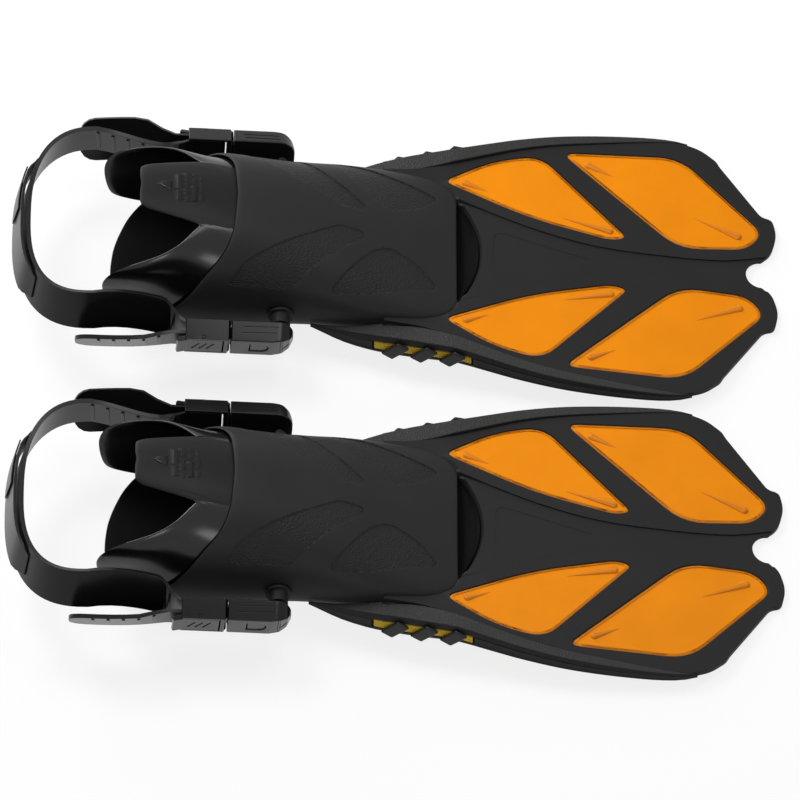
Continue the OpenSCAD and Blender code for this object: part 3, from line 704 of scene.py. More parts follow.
def top_at(piece: bpy.types.Object, x: float, y: float) -> tuple[Vector, Vector]:
    """Finds the top of a piece at a place in plan, and the skin's normal there."""
    return hit(piece, (x, y, CLEAR), -UP)


def bar(place: Vector, normal: Vector, along: Vector, length: float, width: float, height: float,
        rounding: float) -> bpy.types.Object:
    """Makes a small rounded bar that stands on a skin, sunk by half of its height.

    Args:
        place: The middle of its foot, on the skin.
        normal: The skin's normal.
        along: The way that its length runs.
        length: Its length.
        width: Its width.
        height: Its height in all.
        rounding: The rounding of its edges.

    Returns:
        The bar.
    """
    out = normal.normalized()
    side = out.cross(along).normalized()
    run = side.cross(out)
    bpy.ops.mesh.primitive_cube_add(size=1)
    piece = bpy.context.active_object
    turn = Matrix((run, side, out)).transposed().to_4x4()
    piece.matrix_world = Matrix.Translation(place) @ turn @ Matrix.Diagonal((length, width, height, 1))
    return soften(outward(settle(piece)), rounding, steps=2)


def teardrop(thick_end: Vector, thin_end: Vector, up: Vector, width: float, height: float) -> bpy.types.Object:
    """Makes a ridge that runs out from a thick round end to a thin one.

    Args:
        thick_end: The middle of its thick end.
        thin_end: The middle of its thin end.
        up: Which way it rises.
        width: Its width at the thick end.
        height: Its height in all at the thick end.

    Returns:
        The ridge.
    """
    run = thin_end - thick_end
    thin, rounding = 0.04 * width, 0.42 * width
    bpy.ops.mesh.primitive_cone_add(vertices=24, radius1=width / 2, radius2=thin, depth=run.length)
    piece = bpy.context.active_object
    pick_edges(piece, lambda middle, vector: middle.z < -0.49 * run.length)
    with editing(piece, "EDGE"):
        bpy.ops.mesh.bevel(offset=rounding, segments=6, affect="EDGES")
    way = run.normalized()
    side = way.cross(up).normalized()
    turn = Matrix((side.cross(way), side, way)).transposed().to_4x4()
    middle = (thick_end + thin_end) / 2
    piece.matrix_world = Matrix.Translation(middle) @ turn @ Matrix.Diagonal((height / width, 1, 1, 1))
    return outward(settle(piece))


# ---------------------------------------------------------------- a fin's place


@dataclass
class Stand:
    """Where the fins stand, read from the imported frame, and the copies that go on each of them."""

    frame: dict[str, dict]
    tread_set_back: float = 6 * MM
    heel: dict[Fin, Vector] = field(init=False)

    def __post_init__(self) -> None:
        """Reads the place of each heel from the tread under it."""
        self.heel = {}
        for fin in Fin:
            low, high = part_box(f"{fin.word}_heel_tread")
            self.heel[fin] = Vector((low[0] - self.tread_set_back, (low[1] + high[1]) / 2, 0.0))

    def copy_node(self, node: str, name: str) -> bpy.types.Object:
        """Copies the left fin's node of that name, merged and brought to the heel.

        Args:
            node: The node's name without its fin.
            name: The new object's name.

        Returns:
            The copy, as its own object with its own mesh.
        """
        mesh = self.frame["nodes"][f"left_{node}"].data.copy()
        piece = bpy.data.objects.new(name, mesh)
        bpy.context.scene.collection.objects.link(piece)
        mesh.transform(Matrix.Translation(-self.heel[Fin.LEFT]))
        with editing(piece, whole=True):
            bpy.ops.mesh.remove_doubles(threshold=2 * WELD)
        return piece

    def place(self, piece: bpy.types.Object, slot: str, body: str, nodes: Iterable[str],
              side: Side | None = None) -> None:
        """Sets a finished piece down on both fins, each with its own mesh.

        Args:
            piece: The piece, made at the heel.
            slot: The record's material slot; it is not used.
            body: The body's name without its fin; {edge} stands for outboard or inboard.
            nodes: The nodes it stands for, without their fin, written the same way.
            side: The side of the fin the piece is on, where the names depend on it.
        """
        name = piece.name
        for fin in (Fin.RIGHT, Fin.LEFT):
            target = piece
            if fin is Fin.RIGHT:
                target = piece.copy()
                target.data = piece.data.copy()
                bpy.context.scene.collection.objects.link(target)
            edge = fin.edge_word(side) if side else ""
            target.name = f"{fin.word}_{name.format(edge=edge)}"
            target.data.name = target.name
            target.data.transform(Matrix.Translation(self.heel[fin]))
            stands_for = [f"{fin.word}_{node.format(edge=edge)}" for node in nodes]
            if stands_for:
                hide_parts(*stands_for)
            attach(target, f"{fin.word}_{body.format(edge=edge)}")
            LOG.info("%s: %d faces", target.name, len(target.data.polygons))

    def place_pair(self, piece: bpy.types.Object, slot: str, body: str) -> None:
        """Shades a piece of the +Y side and its mirrored twin and sets them down on both fins.

        Args:
            piece: The piece, made at the heel and named as its node, with {edge} for the edge.
            slot: The record's material slot.
            body: The body's name without its fin; {edge} stands for outboard or inboard.
        """
        name = piece.name
        twin = shade(mirrored(piece, name))
        shade(piece)
        self.place(piece, slot, body, [name], Side.FAR)
        twin.name = name
        self.place(twin, slot, body, [name], Side.NEAR)


# ---------------------------------------------------------------- foot pocket, cuff and tread


@dataclass
class FootPocket:
    """The moulded foot pocket, with two sunk pebbled panels on each side of its top.

    The panels' corners are in plan, in millimetres, for the +Y side. A slant is the part of a normal that has to
    point one way before the face counts as facing that way.
    """

    stand: Stand
    panel_depth: float = 0.7 * MM
    panel_corner: float = 7 * MM
    grid_cells: int = 64
    grid_spare: float = 1.05
    cutter_height: float = 6 * MM
    bore_width: float = 110 * MM
    axis_height: float = 36 * MM
    heel_end: float = 150 * MM
    toe_start: float = 237 * MM
    toe_floor: float = 29 * MM
    heel_slant: float = 0.25
    toe_slant: float = 0.2
    lift: float = 0.5 * MM
    underside: float = 0.05
    skin: bpy.types.Object | None = None
    panels: tuple[tuple[Point, ...], ...] = (
        ((78.1, 56.3), (93.5, 47.2), (128.5, 17.4), (141.3, 8.4), (173.6, 9.0), (175.6, 14.1), (125.8, 56.4)),
        ((150.1, 57.6), (164.2, 41.1), (179.7, 22.5), (192.5, 15.9), (212, 25), (226.1, 40.1), (175.6, 55.7)),
    )

    def build(self) -> None:
        """Makes the pocket and sets it on both fins."""
        pocket = smooth_skin(quads(self.stand.copy_node("foot_pocket", "foot_pocket")), levels=2)
        self.skin = pocket.copy()
        self.skin.data = pocket.data.copy()
        bpy.context.scene.collection.objects.link(self.skin)
        paint(pocket, Finishes.POCKET, Finishes.POCKET_PEBBLE, Finishes.LINING)
        # the faces inside the pocket get the near-black finish of slot 2: painted shade
        paint_faces(pocket, 2, lambda middle, normal: self._inside(pocket, middle, normal))
        cutters = [self._panel_cutter(pocket, outline, side) for side in Side for outline in self.panels]
        combine(pocket, join(cutters, "panel_cutters"))
        shade(pocket, angle=40)
        self.stand.place(pocket, "pocket_rubber", "fin", ["foot_pocket"])

    def _inside(self, pocket: bpy.types.Object, middle: Vector, normal: Vector) -> bool:
        """Tells whether a face is inside the pocket: it faces the foot, or another part of the pocket. These
        faces get painted shade.

        Args:
            pocket: The pocket.
            middle: The face's middle.
            normal: The face's normal.

        Returns:
            True for a face on the inside.
        """
        away = Vector((0, middle.y, middle.z - self.axis_height))
        at_heel = middle.x < self.heel_end and away.normalized().dot(normal) < -self.heel_slant
        at_toes = middle.x > self.toe_start and middle.z < self.toe_floor and normal.z > self.toe_slant
        start = middle + normal * self.lift
        return at_heel or at_toes or pocket.ray_cast(start, normal, distance=self.bore_width)[0]

    def _panel_cutter(self, pocket: bpy.types.Object, outline: Sequence[Point], side: Side) -> bpy.types.Object:
        """Makes the shape that sinks one panel into the pocket's skin.

        Args:
            pocket: The pocket that the panel follows.
            outline: The panel's corners.
            side: The side of the fin.

        Returns:
            A closed cutter that reaches straight up from just under the skin.
        """
        points = [Vector((x * MM, y * MM * side.value)) for x, y in outline]
        middle = sum(points, Vector((0, 0))) / len(points)
        size = self.grid_spare * 2 * max((point - middle).length for point in points)
        bpy.ops.mesh.primitive_grid_add(
            x_subdivisions=self.grid_cells, y_subdivisions=self.grid_cells, size=size,
            location=(middle.x, middle.y, CLEAR))
        panel = settle(bpy.context.active_object)
        rounded = self._rounded(points, self.panel_corner)
        with editing(panel, "FACE"):
            for a, b in zip(rounded, rounded[1:] + rounded[:1]):
                out = Vector((b.y - a.y, a.x - b.x, 0))
                if out.dot(Vector((*(a - middle), 0))) < 0:
                    out = -out
                bpy.ops.mesh.select_all(action="SELECT")
                bpy.ops.mesh.bisect(plane_co=(*a, CLEAR), plane_no=out.normalized(), clear_outer=True)
        wrap = panel.modifiers.new("wrap", "SHRINKWRAP")
        wrap.target = pocket
        wrap.wrap_method = "PROJECT"
        wrap.use_project_z = True
        wrap.use_negative_direction = True
        wrap.use_positive_direction = False
        apply_all(panel)
        with editing(panel, "FACE", whole=True):
            bpy.ops.transform.translate(value=(0, 0, -self.panel_depth))
            bpy.ops.mesh.extrude_region_move(TRANSFORM_OT_translate={"value": (0, 0, self.cutter_height)})
        outward(panel)
        paint(panel, Finishes.POCKET, Finishes.POCKET_PEBBLE)
        paint_faces(panel, 1, lambda place, normal: normal.z < -self.underside)
        return panel

    @staticmethod
    def _rounded(points: Sequence[Vector], reach: float) -> list[Vector]:
        """Rounds an outline's corners.

        Args:
            points: The corners.
            reach: How far from a corner its rounding starts, at most.

        Returns:
            The rounded outline.
        """
        made = []
        for i, corner in enumerate(points):
            before, after = points[i - 1], points[(i + 1) % len(points)]
            near = min(reach, 0.49 * (before - corner).length, 0.49 * (after - corner).length)
            a = corner + (before - corner).normalized() * near
            b = corner + (after - corner).normalized() * near
            for t in (0.0, 0.25, 0.5, 0.75, 1.0):
                made.append((1 - t) ** 2 * a + 2 * t * (1 - t) * corner + t * t * b)
        return made


@dataclass
class InnerCuff:
    """The soft cuff inside the pocket's collar, with its side flaps and instep tongue.

    The rows of marks are in plan, in millimetres: how far along each row is, and where its dashes start and end.
    """

    stand: Stand
    tongue_half: float = 27 * MM
    tongue_height: float = 74 * MM
    tongue_slant: float = 0.2
    mark_width: float = 2.2 * MM
    mark_height: float = 0.9 * MM
    mark_rounding: float = 0.2 * MM
    head_middle: float = 41.5 * MM
    head_radius: float = 5 * MM
    mark_rows: tuple[tuple[float, tuple[Point, ...]], ...] = (
        (50, ((-12, -4), (-2, 10))),
        (55, ((-13, -9), (-7, 3), (5, 12))),
        (60, ((-12, 1), (3, 8), (10, 13))),
        (65, ((-11, -6), (-4, 5), (7, 11))),
    )

    def build(self) -> None:
        """Makes the cuff and sets it on both fins."""
        cuff = smooth_skin(quads(self.stand.copy_node("inner_cuff", "inner_cuff")), levels=2)
        combine(cuff, join(list(self._marks(cuff)), "tongue_marks"), "UNION")
        paint(cuff, Finishes.CUFF, Finishes.TONGUE)
        paint_faces(cuff, 1, self._on_tongue)
        shade(cuff, angle=50)
        self.stand.place(cuff, "soft_rubber", "fin", ["inner_cuff"])

    def _on_tongue(self, middle: Vector, normal: Vector) -> bool:
        """Whether a face is on the outside of the tongue."""
        return abs(middle.y) < self.tongue_half and middle.z > self.tongue_height and normal.z > self.tongue_slant

    def _marks(self, cuff: bpy.types.Object) -> Iterator[bpy.types.Object]:
        """Makes the raised dashes and the raised arrowhead on the tongue.

        Args:
            cuff: The cuff that they stand on.

        Yields:
            One mark after the other.
        """
        for x, dashes in self.mark_rows:
            for low, high in dashes:
                place, normal = top_at(cuff, x * MM, (low + high) / 2 * MM)
                yield bar(place, normal, ACROSS, (high - low) * MM, self.mark_width, self.mark_height,
                          self.mark_rounding)
        place, normal = top_at(cuff, self.head_middle, 0)
        bpy.ops.mesh.primitive_cylinder_add(vertices=3, radius=self.head_radius, depth=2 * self.mark_height)
        head = bpy.context.active_object
        side = (-ALONG).cross(normal).normalized()
        turn = Matrix((side, normal.cross(side), normal)).transposed().to_4x4()
        head.matrix_world = Matrix.Translation(place) @ turn
        yield settle(head)


@dataclass
class HeelTread:
    """The grip pad under the heel, with cross grooves, which are placed in millimetres from the heel."""

    stand: Stand
    rounding: float = 0.5 * MM
    grooves: tuple[float, ...] = (14, 21, 28, 35, 42)
    groove_length: float = 48 * MM
    groove_width: float = 2 * MM
    groove_depth: float = 1 * MM
    groove_rounding: float = 0.3 * MM

    def build(self) -> None:
        """Makes the tread and sets it on both fins."""
        tread = flatten(self.stand.copy_node("heel_tread", "heel_tread"), angle=2)
        soften(tread, self.rounding, steps=2)
        for x in self.grooves:
            combine(tread, bar(Vector((x * MM, 0, 0)), -UP, ACROSS, self.groove_length, self.groove_width,
                               2 * self.groove_depth, self.groove_rounding))
        paint(tread, Finishes.TREAD)
        shade(tread)
        self.stand.place(tread, "soft_rubber", "fin", ["heel_tread"])


# ---------------------------------------------------------------- blade


@dataclass
class Blade:
    """The blade's rubber frame with its four orange windows.

    Each window's ridges are given by their thick and thin ends in plan, in millimetres, for the +Y side.
    """

    stand: Stand
    pocket: FootPocket
    edge_rounding: float = 1.0 * MM
    pocket_reach: float = 2.4 * MM
    pocket_sink: float = 0.4 * MM
    recess_ends: Point = (262 * MM, 332 * MM)
    recess_half: float = 24 * MM
    recess_corner: float = 8 * MM
    recess_depth: float = 0.3 * MM
    cutter_height: float = 6 * MM
    window_rounding: float = 0.7 * MM
    rim_width: float = 1.8 * MM
    ridge_width: float = 6.0 * MM
    ridge_height: float = 3.6 * MM
    ridges: tuple[tuple[str, tuple[Ridge, ...]], ...] = (
        ("toe", (((241, 61.2), (258, 54.5)), ((343.5, 27.2), (309.6, 36)))),
        ("tip", (((325, 85.5), (344, 76.5)), ((431, 30.5), (399.7, 44.8)))),
    )

    def build(self) -> None:
        """Makes the frame and the windows and sets them on both fins."""
        frame = split_inward(flatten(self.stand.copy_node("blade_frame", "blade_frame")))
        soften(frame, self.edge_rounding, steps=4, angle=40)
        combine(frame, self._recess(frame))
        self._meet_pocket(frame)
        paint(frame, Finishes.FRAME)
        shade(frame)
        self.stand.place(frame, "pocket_rubber", "fin", ["blade_frame"])
        for part, ridges in self.ridges:
            for side in Side:
                self._window(part, side, ridges)

    def _meet_pocket(self, frame: bpy.types.Object) -> None:
        """Draws the frame's rear edge onto the pocket's skin, which it is moulded to.

        Args:
            frame: The blade's frame; it is changed.
        """
        with editing(frame, "FACE", whole=True):
            bpy.ops.mesh.quads_convert_to_tris()
        rear = frame.vertex_groups.new(name="rear")
        skin = self.pocket.skin
        for point in frame.data.vertices:
            found, place, _, _ = skin.closest_point_on_mesh(point.co)
            if found and (place - point.co).length < self.pocket_reach:
                rear.add([point.index], 1.0, "REPLACE")
        draw = frame.modifiers.new("meet", "SHRINKWRAP")
        draw.target = skin
        draw.vertex_group = rear.name
        draw.wrap_method = "NEAREST_SURFACEPOINT"
        draw.wrap_mode = "ON_SURFACE"
        draw.offset = -self.pocket_sink
        apply_all(frame)

    def _recess(self, frame: bpy.types.Object) -> bpy.types.Object:
        """Makes the cutter of the faint rounded triangle at the channel's wide end.

        Args:
            frame: The blade's frame, which it is laid on.

        Returns:
            The cutter.
        """
        rear, front = (top_at(frame, x, 0)[0] for x in self.recess_ends)
        run = front - rear
        bpy.ops.mesh.primitive_cylinder_add(vertices=3, radius=1, depth=1)
        cutter = bpy.context.active_object
        way = run.normalized()
        up = ACROSS.cross(-way)
        turn = Matrix((way, up.cross(way), up)).transposed().to_4x4() @ Matrix.Rotation(math.radians(-90), 4, "Z")
        # a triangle's middle is a third of its height from its base and two thirds from its tip
        size = Matrix.Diagonal((self.recess_half, run.length * 2 / 3, self.cutter_height, 1))
        middle = rear + run / 3 + up * (self.cutter_height / 2 - self.recess_depth)
        cutter.matrix_world = Matrix.Translation(middle) @ turn @ size
        outward(settle(cutter))
        pick_edges(cutter, lambda place, vector: abs(vector.normalized().dot(up)) > MAINLY)
        with editing(cutter, "EDGE"):
            bpy.ops.mesh.bevel(offset=self.recess_corner, segments=8, affect="EDGES")
        return cutter

    def _window(self, part: str, side: Side, ridges: tuple[Ridge, ...]) -> None:
        """Makes one window and sets it on both fins.

        Args:
            part: Which of a side's two windows it is: toe or tip.
            side: The side of the fin.
            ridges: Its ridges' thick and thin ends.
        """
        edge = Fin.LEFT.edge_word(side)
        name = "{edge}_" + f"{part}_window"
        window = flatten(self.stand.copy_node(f"{edge}_{part}_window", name))
        soften(window, self.window_rounding, angle=40)
        pick_faces(window, lambda middle, normal: abs(normal.z) > MAINLY)
        with editing(window, "FACE"):
            bpy.ops.mesh.inset(thickness=self.rim_width)
        inner = {i for face in window.data.polygons if face.select for i in face.vertices}
        drops = []
        for ends in ridges:
            tops = [top_at(window, x * MM, y * side.value * MM) for x, y in ends]
            drops.append(teardrop(tops[0][0], tops[1][0], tops[0][1], self.ridge_width, self.ridge_height))
        # points outside the inset middle take the darker rim colour: painted shade next to the frame
        rim = window.data.attributes.new("rim", "FLOAT", "POINT")
        rim.data.foreach_set("value", [0.0 if i in inner else 1.0 for i in range(len(window.data.vertices))])
        combine(window, join(drops, "ridges"), "UNION")
        paint(window, Finishes.WINDOW)
        shade(window)
        self.stand.place(window, "window_orange", "fin", [name], side)


# ---------------------------------------------------------------- rails


@dataclass
class SideRails:
    """The rails down both edges of a blade, their cores and the wraps over them."""

    stand: Stand
    rounding: float = 0.9 * MM
    rear_run: float = 30 * MM
    front_run: float = 60 * MM
    core_rounding: float = 0.5 * MM
    wrap_rounding: float = 1.1 * MM
    wrap_lean: float = 2.5 * MM
    wrap_slant: float = 0.7

    def build(self) -> None:
        """Makes the rails and what they hold and sets them on both fins."""
        rail = quads(self.stand.copy_node("outboard_rail", "{edge}_rail"))
        ends = [rail.bound_box[0][0], rail.bound_box[6][0]]

        def share(middle: Vector, run: Vector) -> float:
            """Rounds the edges that run along the rail, less and less towards its thin ends.

            Args:
                middle: The edge's middle.
                run: The edge's vector.

            Returns:
                The edge's share of the rounding, from 0 to 1.
            """
            room = min((middle.x - ends[0]) / self.rear_run, (ends[1] - middle.x) / self.front_run, 1.0)
            return max(0.0, room) if abs(run.x) > 0.5 * run.length else 0.0

        soften(rail, self.rounding, angle=30, share=share)
        paint(rail, Finishes.RAIL, Finishes.RAIL_GRAIN)
        paint_faces(rail, 1, lambda middle, normal: normal.z > MAINLY)
        core = quads(self.stand.copy_node("outboard_rail_core", "{edge}_rail_core"))
        soften(core, self.core_rounding, steps=2, angle=38)
        paint(core, Finishes.CORE)
        wraps = flatten(self.stand.copy_node("outboard_rail_wraps", "{edge}_rail_wraps"))
        self._lean(wraps)
        soften(wraps, self.wrap_rounding, steps=4)
        paint(wraps, Finishes.WRAP)
        self.stand.place_pair(rail, "rail_rubber", "fin")
        self.stand.place_pair(core, "core_yellow", "fin")
        self.stand.place_pair(wraps, "pocket_rubber", "fin")

    def _lean(self, wraps: bpy.types.Object) -> None:
        """Leans the wraps further forward at the top and back at the foot, along the rail.

        Args:
            wraps: The wraps of the +Y side; they are changed.
        """
        outer = max(wraps.data.polygons, key=lambda face: face.normal.y)
        along = outer.normal.cross(UP).normalized()
        for end in (1, -1):
            pick_faces(wraps, lambda middle, normal: normal.z * end > self.wrap_slant)
            with editing(wraps, "FACE"):
                bpy.ops.transform.translate(value=along * self.wrap_lean * end)


# ---------------------------------------------------------------- buckles


@dataclass
class Buckles:
    """The two quick-release buckles of a fin, and the posts that they swing on.

    The streaks' middles are in plan, in millimetres, for the +Y side. A clip is a node of a buckle, with its body
    and the rounding of its edges.
    """

    stand: Stand
    streaks: tuple[Point, ...] = ((105, 83.2), (104, 87.2))
    streak_length: float = 24 * MM
    streak_width: float = 1.1 * MM
    streak_depth: float = 0.4 * MM
    streak_rounding: float = 0.2 * MM
    pad_middle: Point = (104 * MM, 35 * MM)
    pad_rise: float = 1.6 * MM
    shoulder: Point = (81 * MM, 84 * MM)
    step_in: float = 0.4 * MM
    step_rise: float = 1.4 * MM
    latch_side: Point = (79 * MM, 45 * MM)
    post_rounding: float = 0.5 * MM
    pin_rounding: float = 0.2 * MM
    receiver_rounding: float = 0.9 * MM
    clips: tuple[tuple[str, str, float], ...] = (
        ("plug", "strap", 0.6 * MM), ("lever", "{edge}_cam", 0.5 * MM), ("latch", "{edge}_catch", 0.4 * MM))

    def build(self) -> None:
        """Makes the buckles' pieces and sets them on both fins."""
        posts = shade(paint(self._hard_piece("strap_posts", "strap_posts", self.post_rounding), Finishes.POST))
        self.stand.place(posts, "buckle_plastic", "fin", ["strap_posts"])
        pins = shade(self._hard_piece("lever_pins", "lever_pins", self.pin_rounding))
        self.stand.place(pins, "buckle_plastic", "strap", ["lever_pins"])
        receiver = self._hard_piece("outboard_receiver", "{edge}_receiver", self.receiver_rounding)
        for x, y in self.streaks:
            place, normal = top_at(receiver, x * MM, y * MM)
            combine(receiver, bar(place, normal, ALONG, self.streak_length, self.streak_width,
                                  2 * self.streak_depth, self.streak_rounding))
        self.stand.place_pair(receiver, "buckle_plastic", "{edge}_buckle")
        for node, body, width in self.clips:
            piece = self._hard_piece(f"outboard_{node}", "{edge}_" + node, width)
            if node == "plug":
                self._fill_shoulder(piece)
            self.stand.place_pair(piece, "buckle_plastic", body)

    def _fill_shoulder(self, plug: bpy.types.Object) -> None:
        """Raises a slightly smaller step on the plug's front, almost up to the receiver and clear of the latch.

        Args:
            plug: The plug of the +Y side; it is changed.
        """
        low, high = self.shoulder
        beside, above = self.latch_side
        pick_faces(plug, lambda middle, normal: normal.x > STRAIGHT and low < middle.x < high
                   and (middle.y < beside or middle.z > above))
        with editing(plug, "FACE"):
            bpy.ops.mesh.inset(thickness=self.step_in, depth=self.step_rise)

    def _raise_pad(self, latch: bpy.types.Object) -> None:
        """Raises the latch's pad until it is almost level with the receiver around it.

        Args:
            latch: The latch of the +Y side; it is changed.
        """
        x, z = self.pad_middle
        place, out = hit(latch, (x, CLEAR, z), -ACROSS)
        level = 0.1 * MM
        pick_faces(latch, lambda middle, normal: normal.dot(out) > STRAIGHT
                   and abs((middle - place).dot(out)) < level)
        with editing(latch, "FACE"):
            bpy.ops.mesh.extrude_region_move(TRANSFORM_OT_translate={"value": out * self.pad_rise})

    def _hard_piece(self, node: str, name: str, width: float) -> bpy.types.Object:
        """Copies a moulded plastic node with its edges rounded.

        Args:
            node: The node to copy.
            name: The piece's name.
            width: The rounding of its long edges.

        Returns:
            The finished piece.
        """
        piece = flatten(self.stand.copy_node(node, name))
        if node.endswith("latch"):
            self._raise_pad(piece)
        split_inward(piece)
        soften(piece, width, angle=36)
        return paint(piece, Finishes.BUCKLE)


# ---------------------------------------------------------------- strap


@dataclass
class HeelStrap:
    """The heel strap with its ladder ribs, finger pull and badge.

    The ribs are placed in millimetres from the heel, and looked for over a span of heights in millimetres. A trim
    is a node on the strap, with its slot, the rounding of its edges and its finish.
    """

    stand: Stand
    rounding: float = 0.7 * MM
    rib_height: float = 1.6 * MM
    rib_width: float = 2.2 * MM
    rib_rounding: float = 0.4 * MM
    rib_margin: float = 2.5 * MM
    face_depth: float = 9 * MM
    facing: float = 0.7
    rib_heights: tuple[int, int] = (16, 100)
    arm_ribs: tuple[float, ...] = (-6.5, 3.6, 13.7, 23.8, 33.9)
    tail_ribs: tuple[float, ...] = (-4, 6.1, 16.2, 26.3, 36.4)
    trims: tuple[tuple[str, str, float, Finish], ...] = (
        ("finger_pull", "soft_rubber", 0.35 * MM, Finishes.STRAP),
        ("heel_badge", "buckle_plastic", 0.3 * MM, Finishes.BADGE),
    )

    def build(self) -> None:
        """Makes the strap's pieces and sets them on both fins."""
        strap = quads(self.stand.copy_node("heel_strap", "heel_strap"))
        soften(strap, self.rounding, angle=45)
        ribs = [self._rib(strap, x, side, 0.0, side.value) for side in Side for x in self.arm_ribs]
        ribs += [self._rib(strap, x, side, CLEAR * side.value, -side.value)
                 for side in Side for x in self.tail_ribs]
        combine(strap, join(ribs, "ribs"), "UNION")
        paint(strap, Finishes.STRAP)
        shade(strap, angle=40)
        self.stand.place(strap, "soft_rubber", "strap", ["heel_strap"])
        for node, slot, width, finish in self.trims:
            piece = quads(self.stand.copy_node(node, node))
            soften(piece, width, angle=45)
            paint(piece, finish)
            shade(piece, angle=40)
            self.stand.place(piece, slot, "strap", [node])

    def _rib(self, strap: bpy.types.Object, x: float, side: Side, start_y: float, way: int) -> bpy.types.Object:
        """Makes one ladder rib across the strap.

        Args:
            strap: The strap that carries it.
            x: How far along the fin it is, in millimetres.
            side: The side of the fin.
            start_y: From where across the fin its face is looked for.
            way: Which way it is looked for, 1 or -1 across the fin.

        Returns:
            The rib.
        """
        seen = []
        for z in range(*self.rib_heights):
            found, place, normal, _ = strap.ray_cast(Vector((x * MM, start_y, z * MM)), ACROSS * way)
            if found and place.y * side.value > 0 and abs(normal.y) > self.facing:
                seen.append((place, normal))
        if not seen:
            raise ValueError(f"no face of the strap lies at x = {x}")
        near = min(place.y * way for place, _ in seen)
        face = [(place, normal) for place, normal in seen if place.y * way < near + self.face_depth]
        place, normal = face[len(face) // 2]
        length = (face[-1][0] - face[0][0]).length - 2 * self.rib_margin
        return bar(place, normal, face[-1][0] - face[0][0], length, self.rib_width, self.rib_height,
                   self.rib_rounding)


# ---------------------------------------------------------------- studio


@dataclass(frozen=True)
class Lamp:
    """A square soft lamp: where it stands, the point that it faces, the length of its sides and its power."""

    name: str
    place: Triple
    aim: Triple
    size: float
    watts: float

    def build(self) -> None:
        """Adds the lamp."""
        lamp = bpy.data.lights.new(self.name, "AREA")
        lamp.shape = "SQUARE"
        lamp.size = self.size
        lamp.energy = self.watts
        holder = bpy.data.objects.new(self.name, lamp)
        bpy.context.scene.collection.objects.link(holder)
        holder.location = self.place
        holder.rotation_euler = (Vector(self.aim) - Vector(self.place)).to_track_quat("-Z", "Y").to_euler()


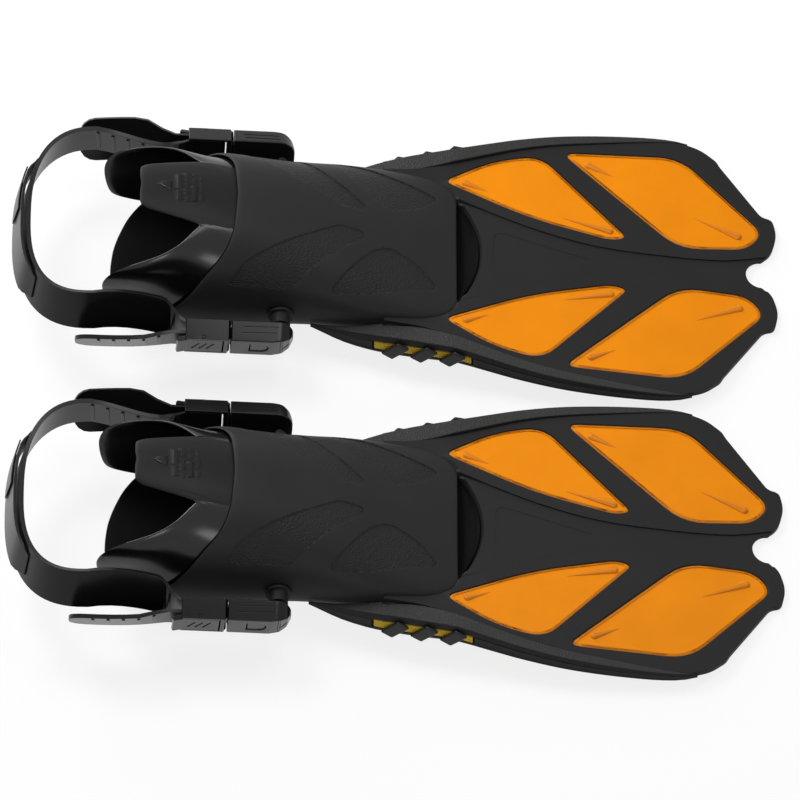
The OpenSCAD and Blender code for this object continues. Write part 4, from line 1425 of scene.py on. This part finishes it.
@dataclass
class Studio:
    """The floor, the light and the camera.

    The view takes in view_width at the target. floor_white is how much of a seen floor is plain white rather than
    lit grey, and surround is the strength of the light from all around.
    """

    view_width: float = 0.5384
    elevation: float = 51.0
    target: Triple = (0.003, 0.0, 0.0159)
    distance: float = 8.0
    sensor: float = 36.0
    floor_side: float = 12.0
    floor_grey: float = 0.86
    floor_white: float = 0.82
    surround: float = 0.26
    lamps: tuple[Lamp, ...] = (
        Lamp("key", (-0.75, 0.55, 1.35), (0.0, 0.0, 0.02), 0.6, 15.0),
        Lamp("top", (0.35, 0.2, 1.5), (0.05, 0.0, 0.0), 0.7, 8.0),
        Lamp("front", (0.1, -1.5, 0.75), (0.0, 0.0, 0.03), 0.5, 4.0),
        Lamp("rear", (-0.7, 1.3, 0.6), (-0.1, 0.0, 0.04), 0.9, 12.0),
    )

    def build(self) -> None:
        """Sets up the whole studio."""
        self._floor()
        self._world()
        for lamp in self.lamps:
            lamp.build()
        self._camera()

    def _floor(self) -> None:
        """Lays a pale floor that shows only a light shadow."""
        bpy.ops.mesh.primitive_plane_add(size=self.floor_side, location=(0, 0, 0))
        floor = bpy.context.active_object
        floor.name = "floor"
        material = bpy.data.materials.new("pale floor")
        material.use_nodes = True
        web = Web(material.node_tree)
        web.tree.nodes.clear()
        out = web.add("OutputMaterial")
        diffuse = web.add("BsdfDiffuse", Color=(*[self.floor_grey] * 3, 1))
        share = web.add("Math")
        share.operation = "MULTIPLY"
        share.inputs[1].default_value = self.floor_white
        web.join(self._seen(web), share.inputs[0])
        self._mix(web, share.outputs[0], diffuse, web.add("Emission", Strength=1.0), out)
        floor.data.materials.append(material)

    def _world(self) -> None:
        """Puts a soft white surround about the fins."""
        world = bpy.data.worlds.new("surround")
        bpy.context.scene.world = world
        world.use_nodes = True
        web = Web(world.node_tree)
        web.tree.nodes.clear()
        out = web.add("OutputWorld")
        soft = web.add("Background", Color=(1, 1, 1, 1), Strength=self.surround)
        white = web.add("Background", Color=(1, 1, 1, 1), Strength=1.0)
        self._mix(web, self._seen(web), soft, white, out)

    @staticmethod
    def _mix(web: Web, share: bpy.types.NodeSocket, plain: bpy.types.Node, white: bpy.types.Node,
             out: bpy.types.Node) -> None:
        """Mixes a plain shader with a white one.

        Args:
            web: The nodes to add to.
            share: The socket of the white one's share.
            plain: The plain shader.
            white: The white shader.
            out: The output that takes the mix.
        """
        mix = web.add("MixShader")
        for source, target in zip((share, plain.outputs[0], white.outputs[0]), mix.inputs):
            web.join(source, target)
        web.join(mix.outputs[0], out.inputs["Surface"])

    @staticmethod
    def _seen(web: Web) -> bpy.types.NodeSocket:
        """Tells the rays that show the background: straight from the camera, by a gloss or through a clear piece.

        Args:
            web: The nodes to add to.

        Returns:
            A socket that is 1 for such rays and 0 for the others.
        """
        path = web.add("LightPath")
        seen = path.outputs["Is Camera Ray"]
        for kind in ("Is Glossy Ray", "Is Transmission Ray"):
            either = web.add("Math")
            either.operation = "MAXIMUM"
            web.join(seen, either.inputs[0])
            web.join(path.outputs[kind], either.inputs[1])
            seen = either.outputs[0]
        return seen

    def _camera(self) -> None:
        """Sets up a long-lens camera on the pair."""
        camera = bpy.data.cameras.new("camera")
        camera.sensor_width = self.sensor
        camera.lens = self.sensor * self.distance / self.view_width
        camera.clip_end = 100
        holder = bpy.data.objects.new("camera", camera)
        bpy.context.scene.collection.objects.link(holder)
        tilt = math.radians(self.elevation)
        back = Vector((0, -math.cos(tilt), math.sin(tilt)))
        holder.location = Vector(self.target) + back * self.distance
        holder.rotation_euler = (-back).to_track_quat("-Z", "Y").to_euler()
        bpy.context.scene.camera = holder
        bpy.context.scene.view_settings.view_transform = "Standard"


def main() -> None:
    """Builds the fins and their studio."""
    logging.basicConfig(level=logging.INFO, format="%(name)s: %(message)s")
    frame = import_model()
    deselect()
    stand = Stand(frame)
    pocket = FootPocket(stand)
    for part in (pocket, InnerCuff(stand), HeelTread(stand), Blade(stand, pocket), SideRails(stand),
                 Buckles(stand), HeelStrap(stand)):
        LOG.info("building %s", type(part).__name__)
        part.build()
    bpy.data.objects.remove(pocket.skin)
    Studio().build()
    deselect()


if __name__ == "__main__":
    main()
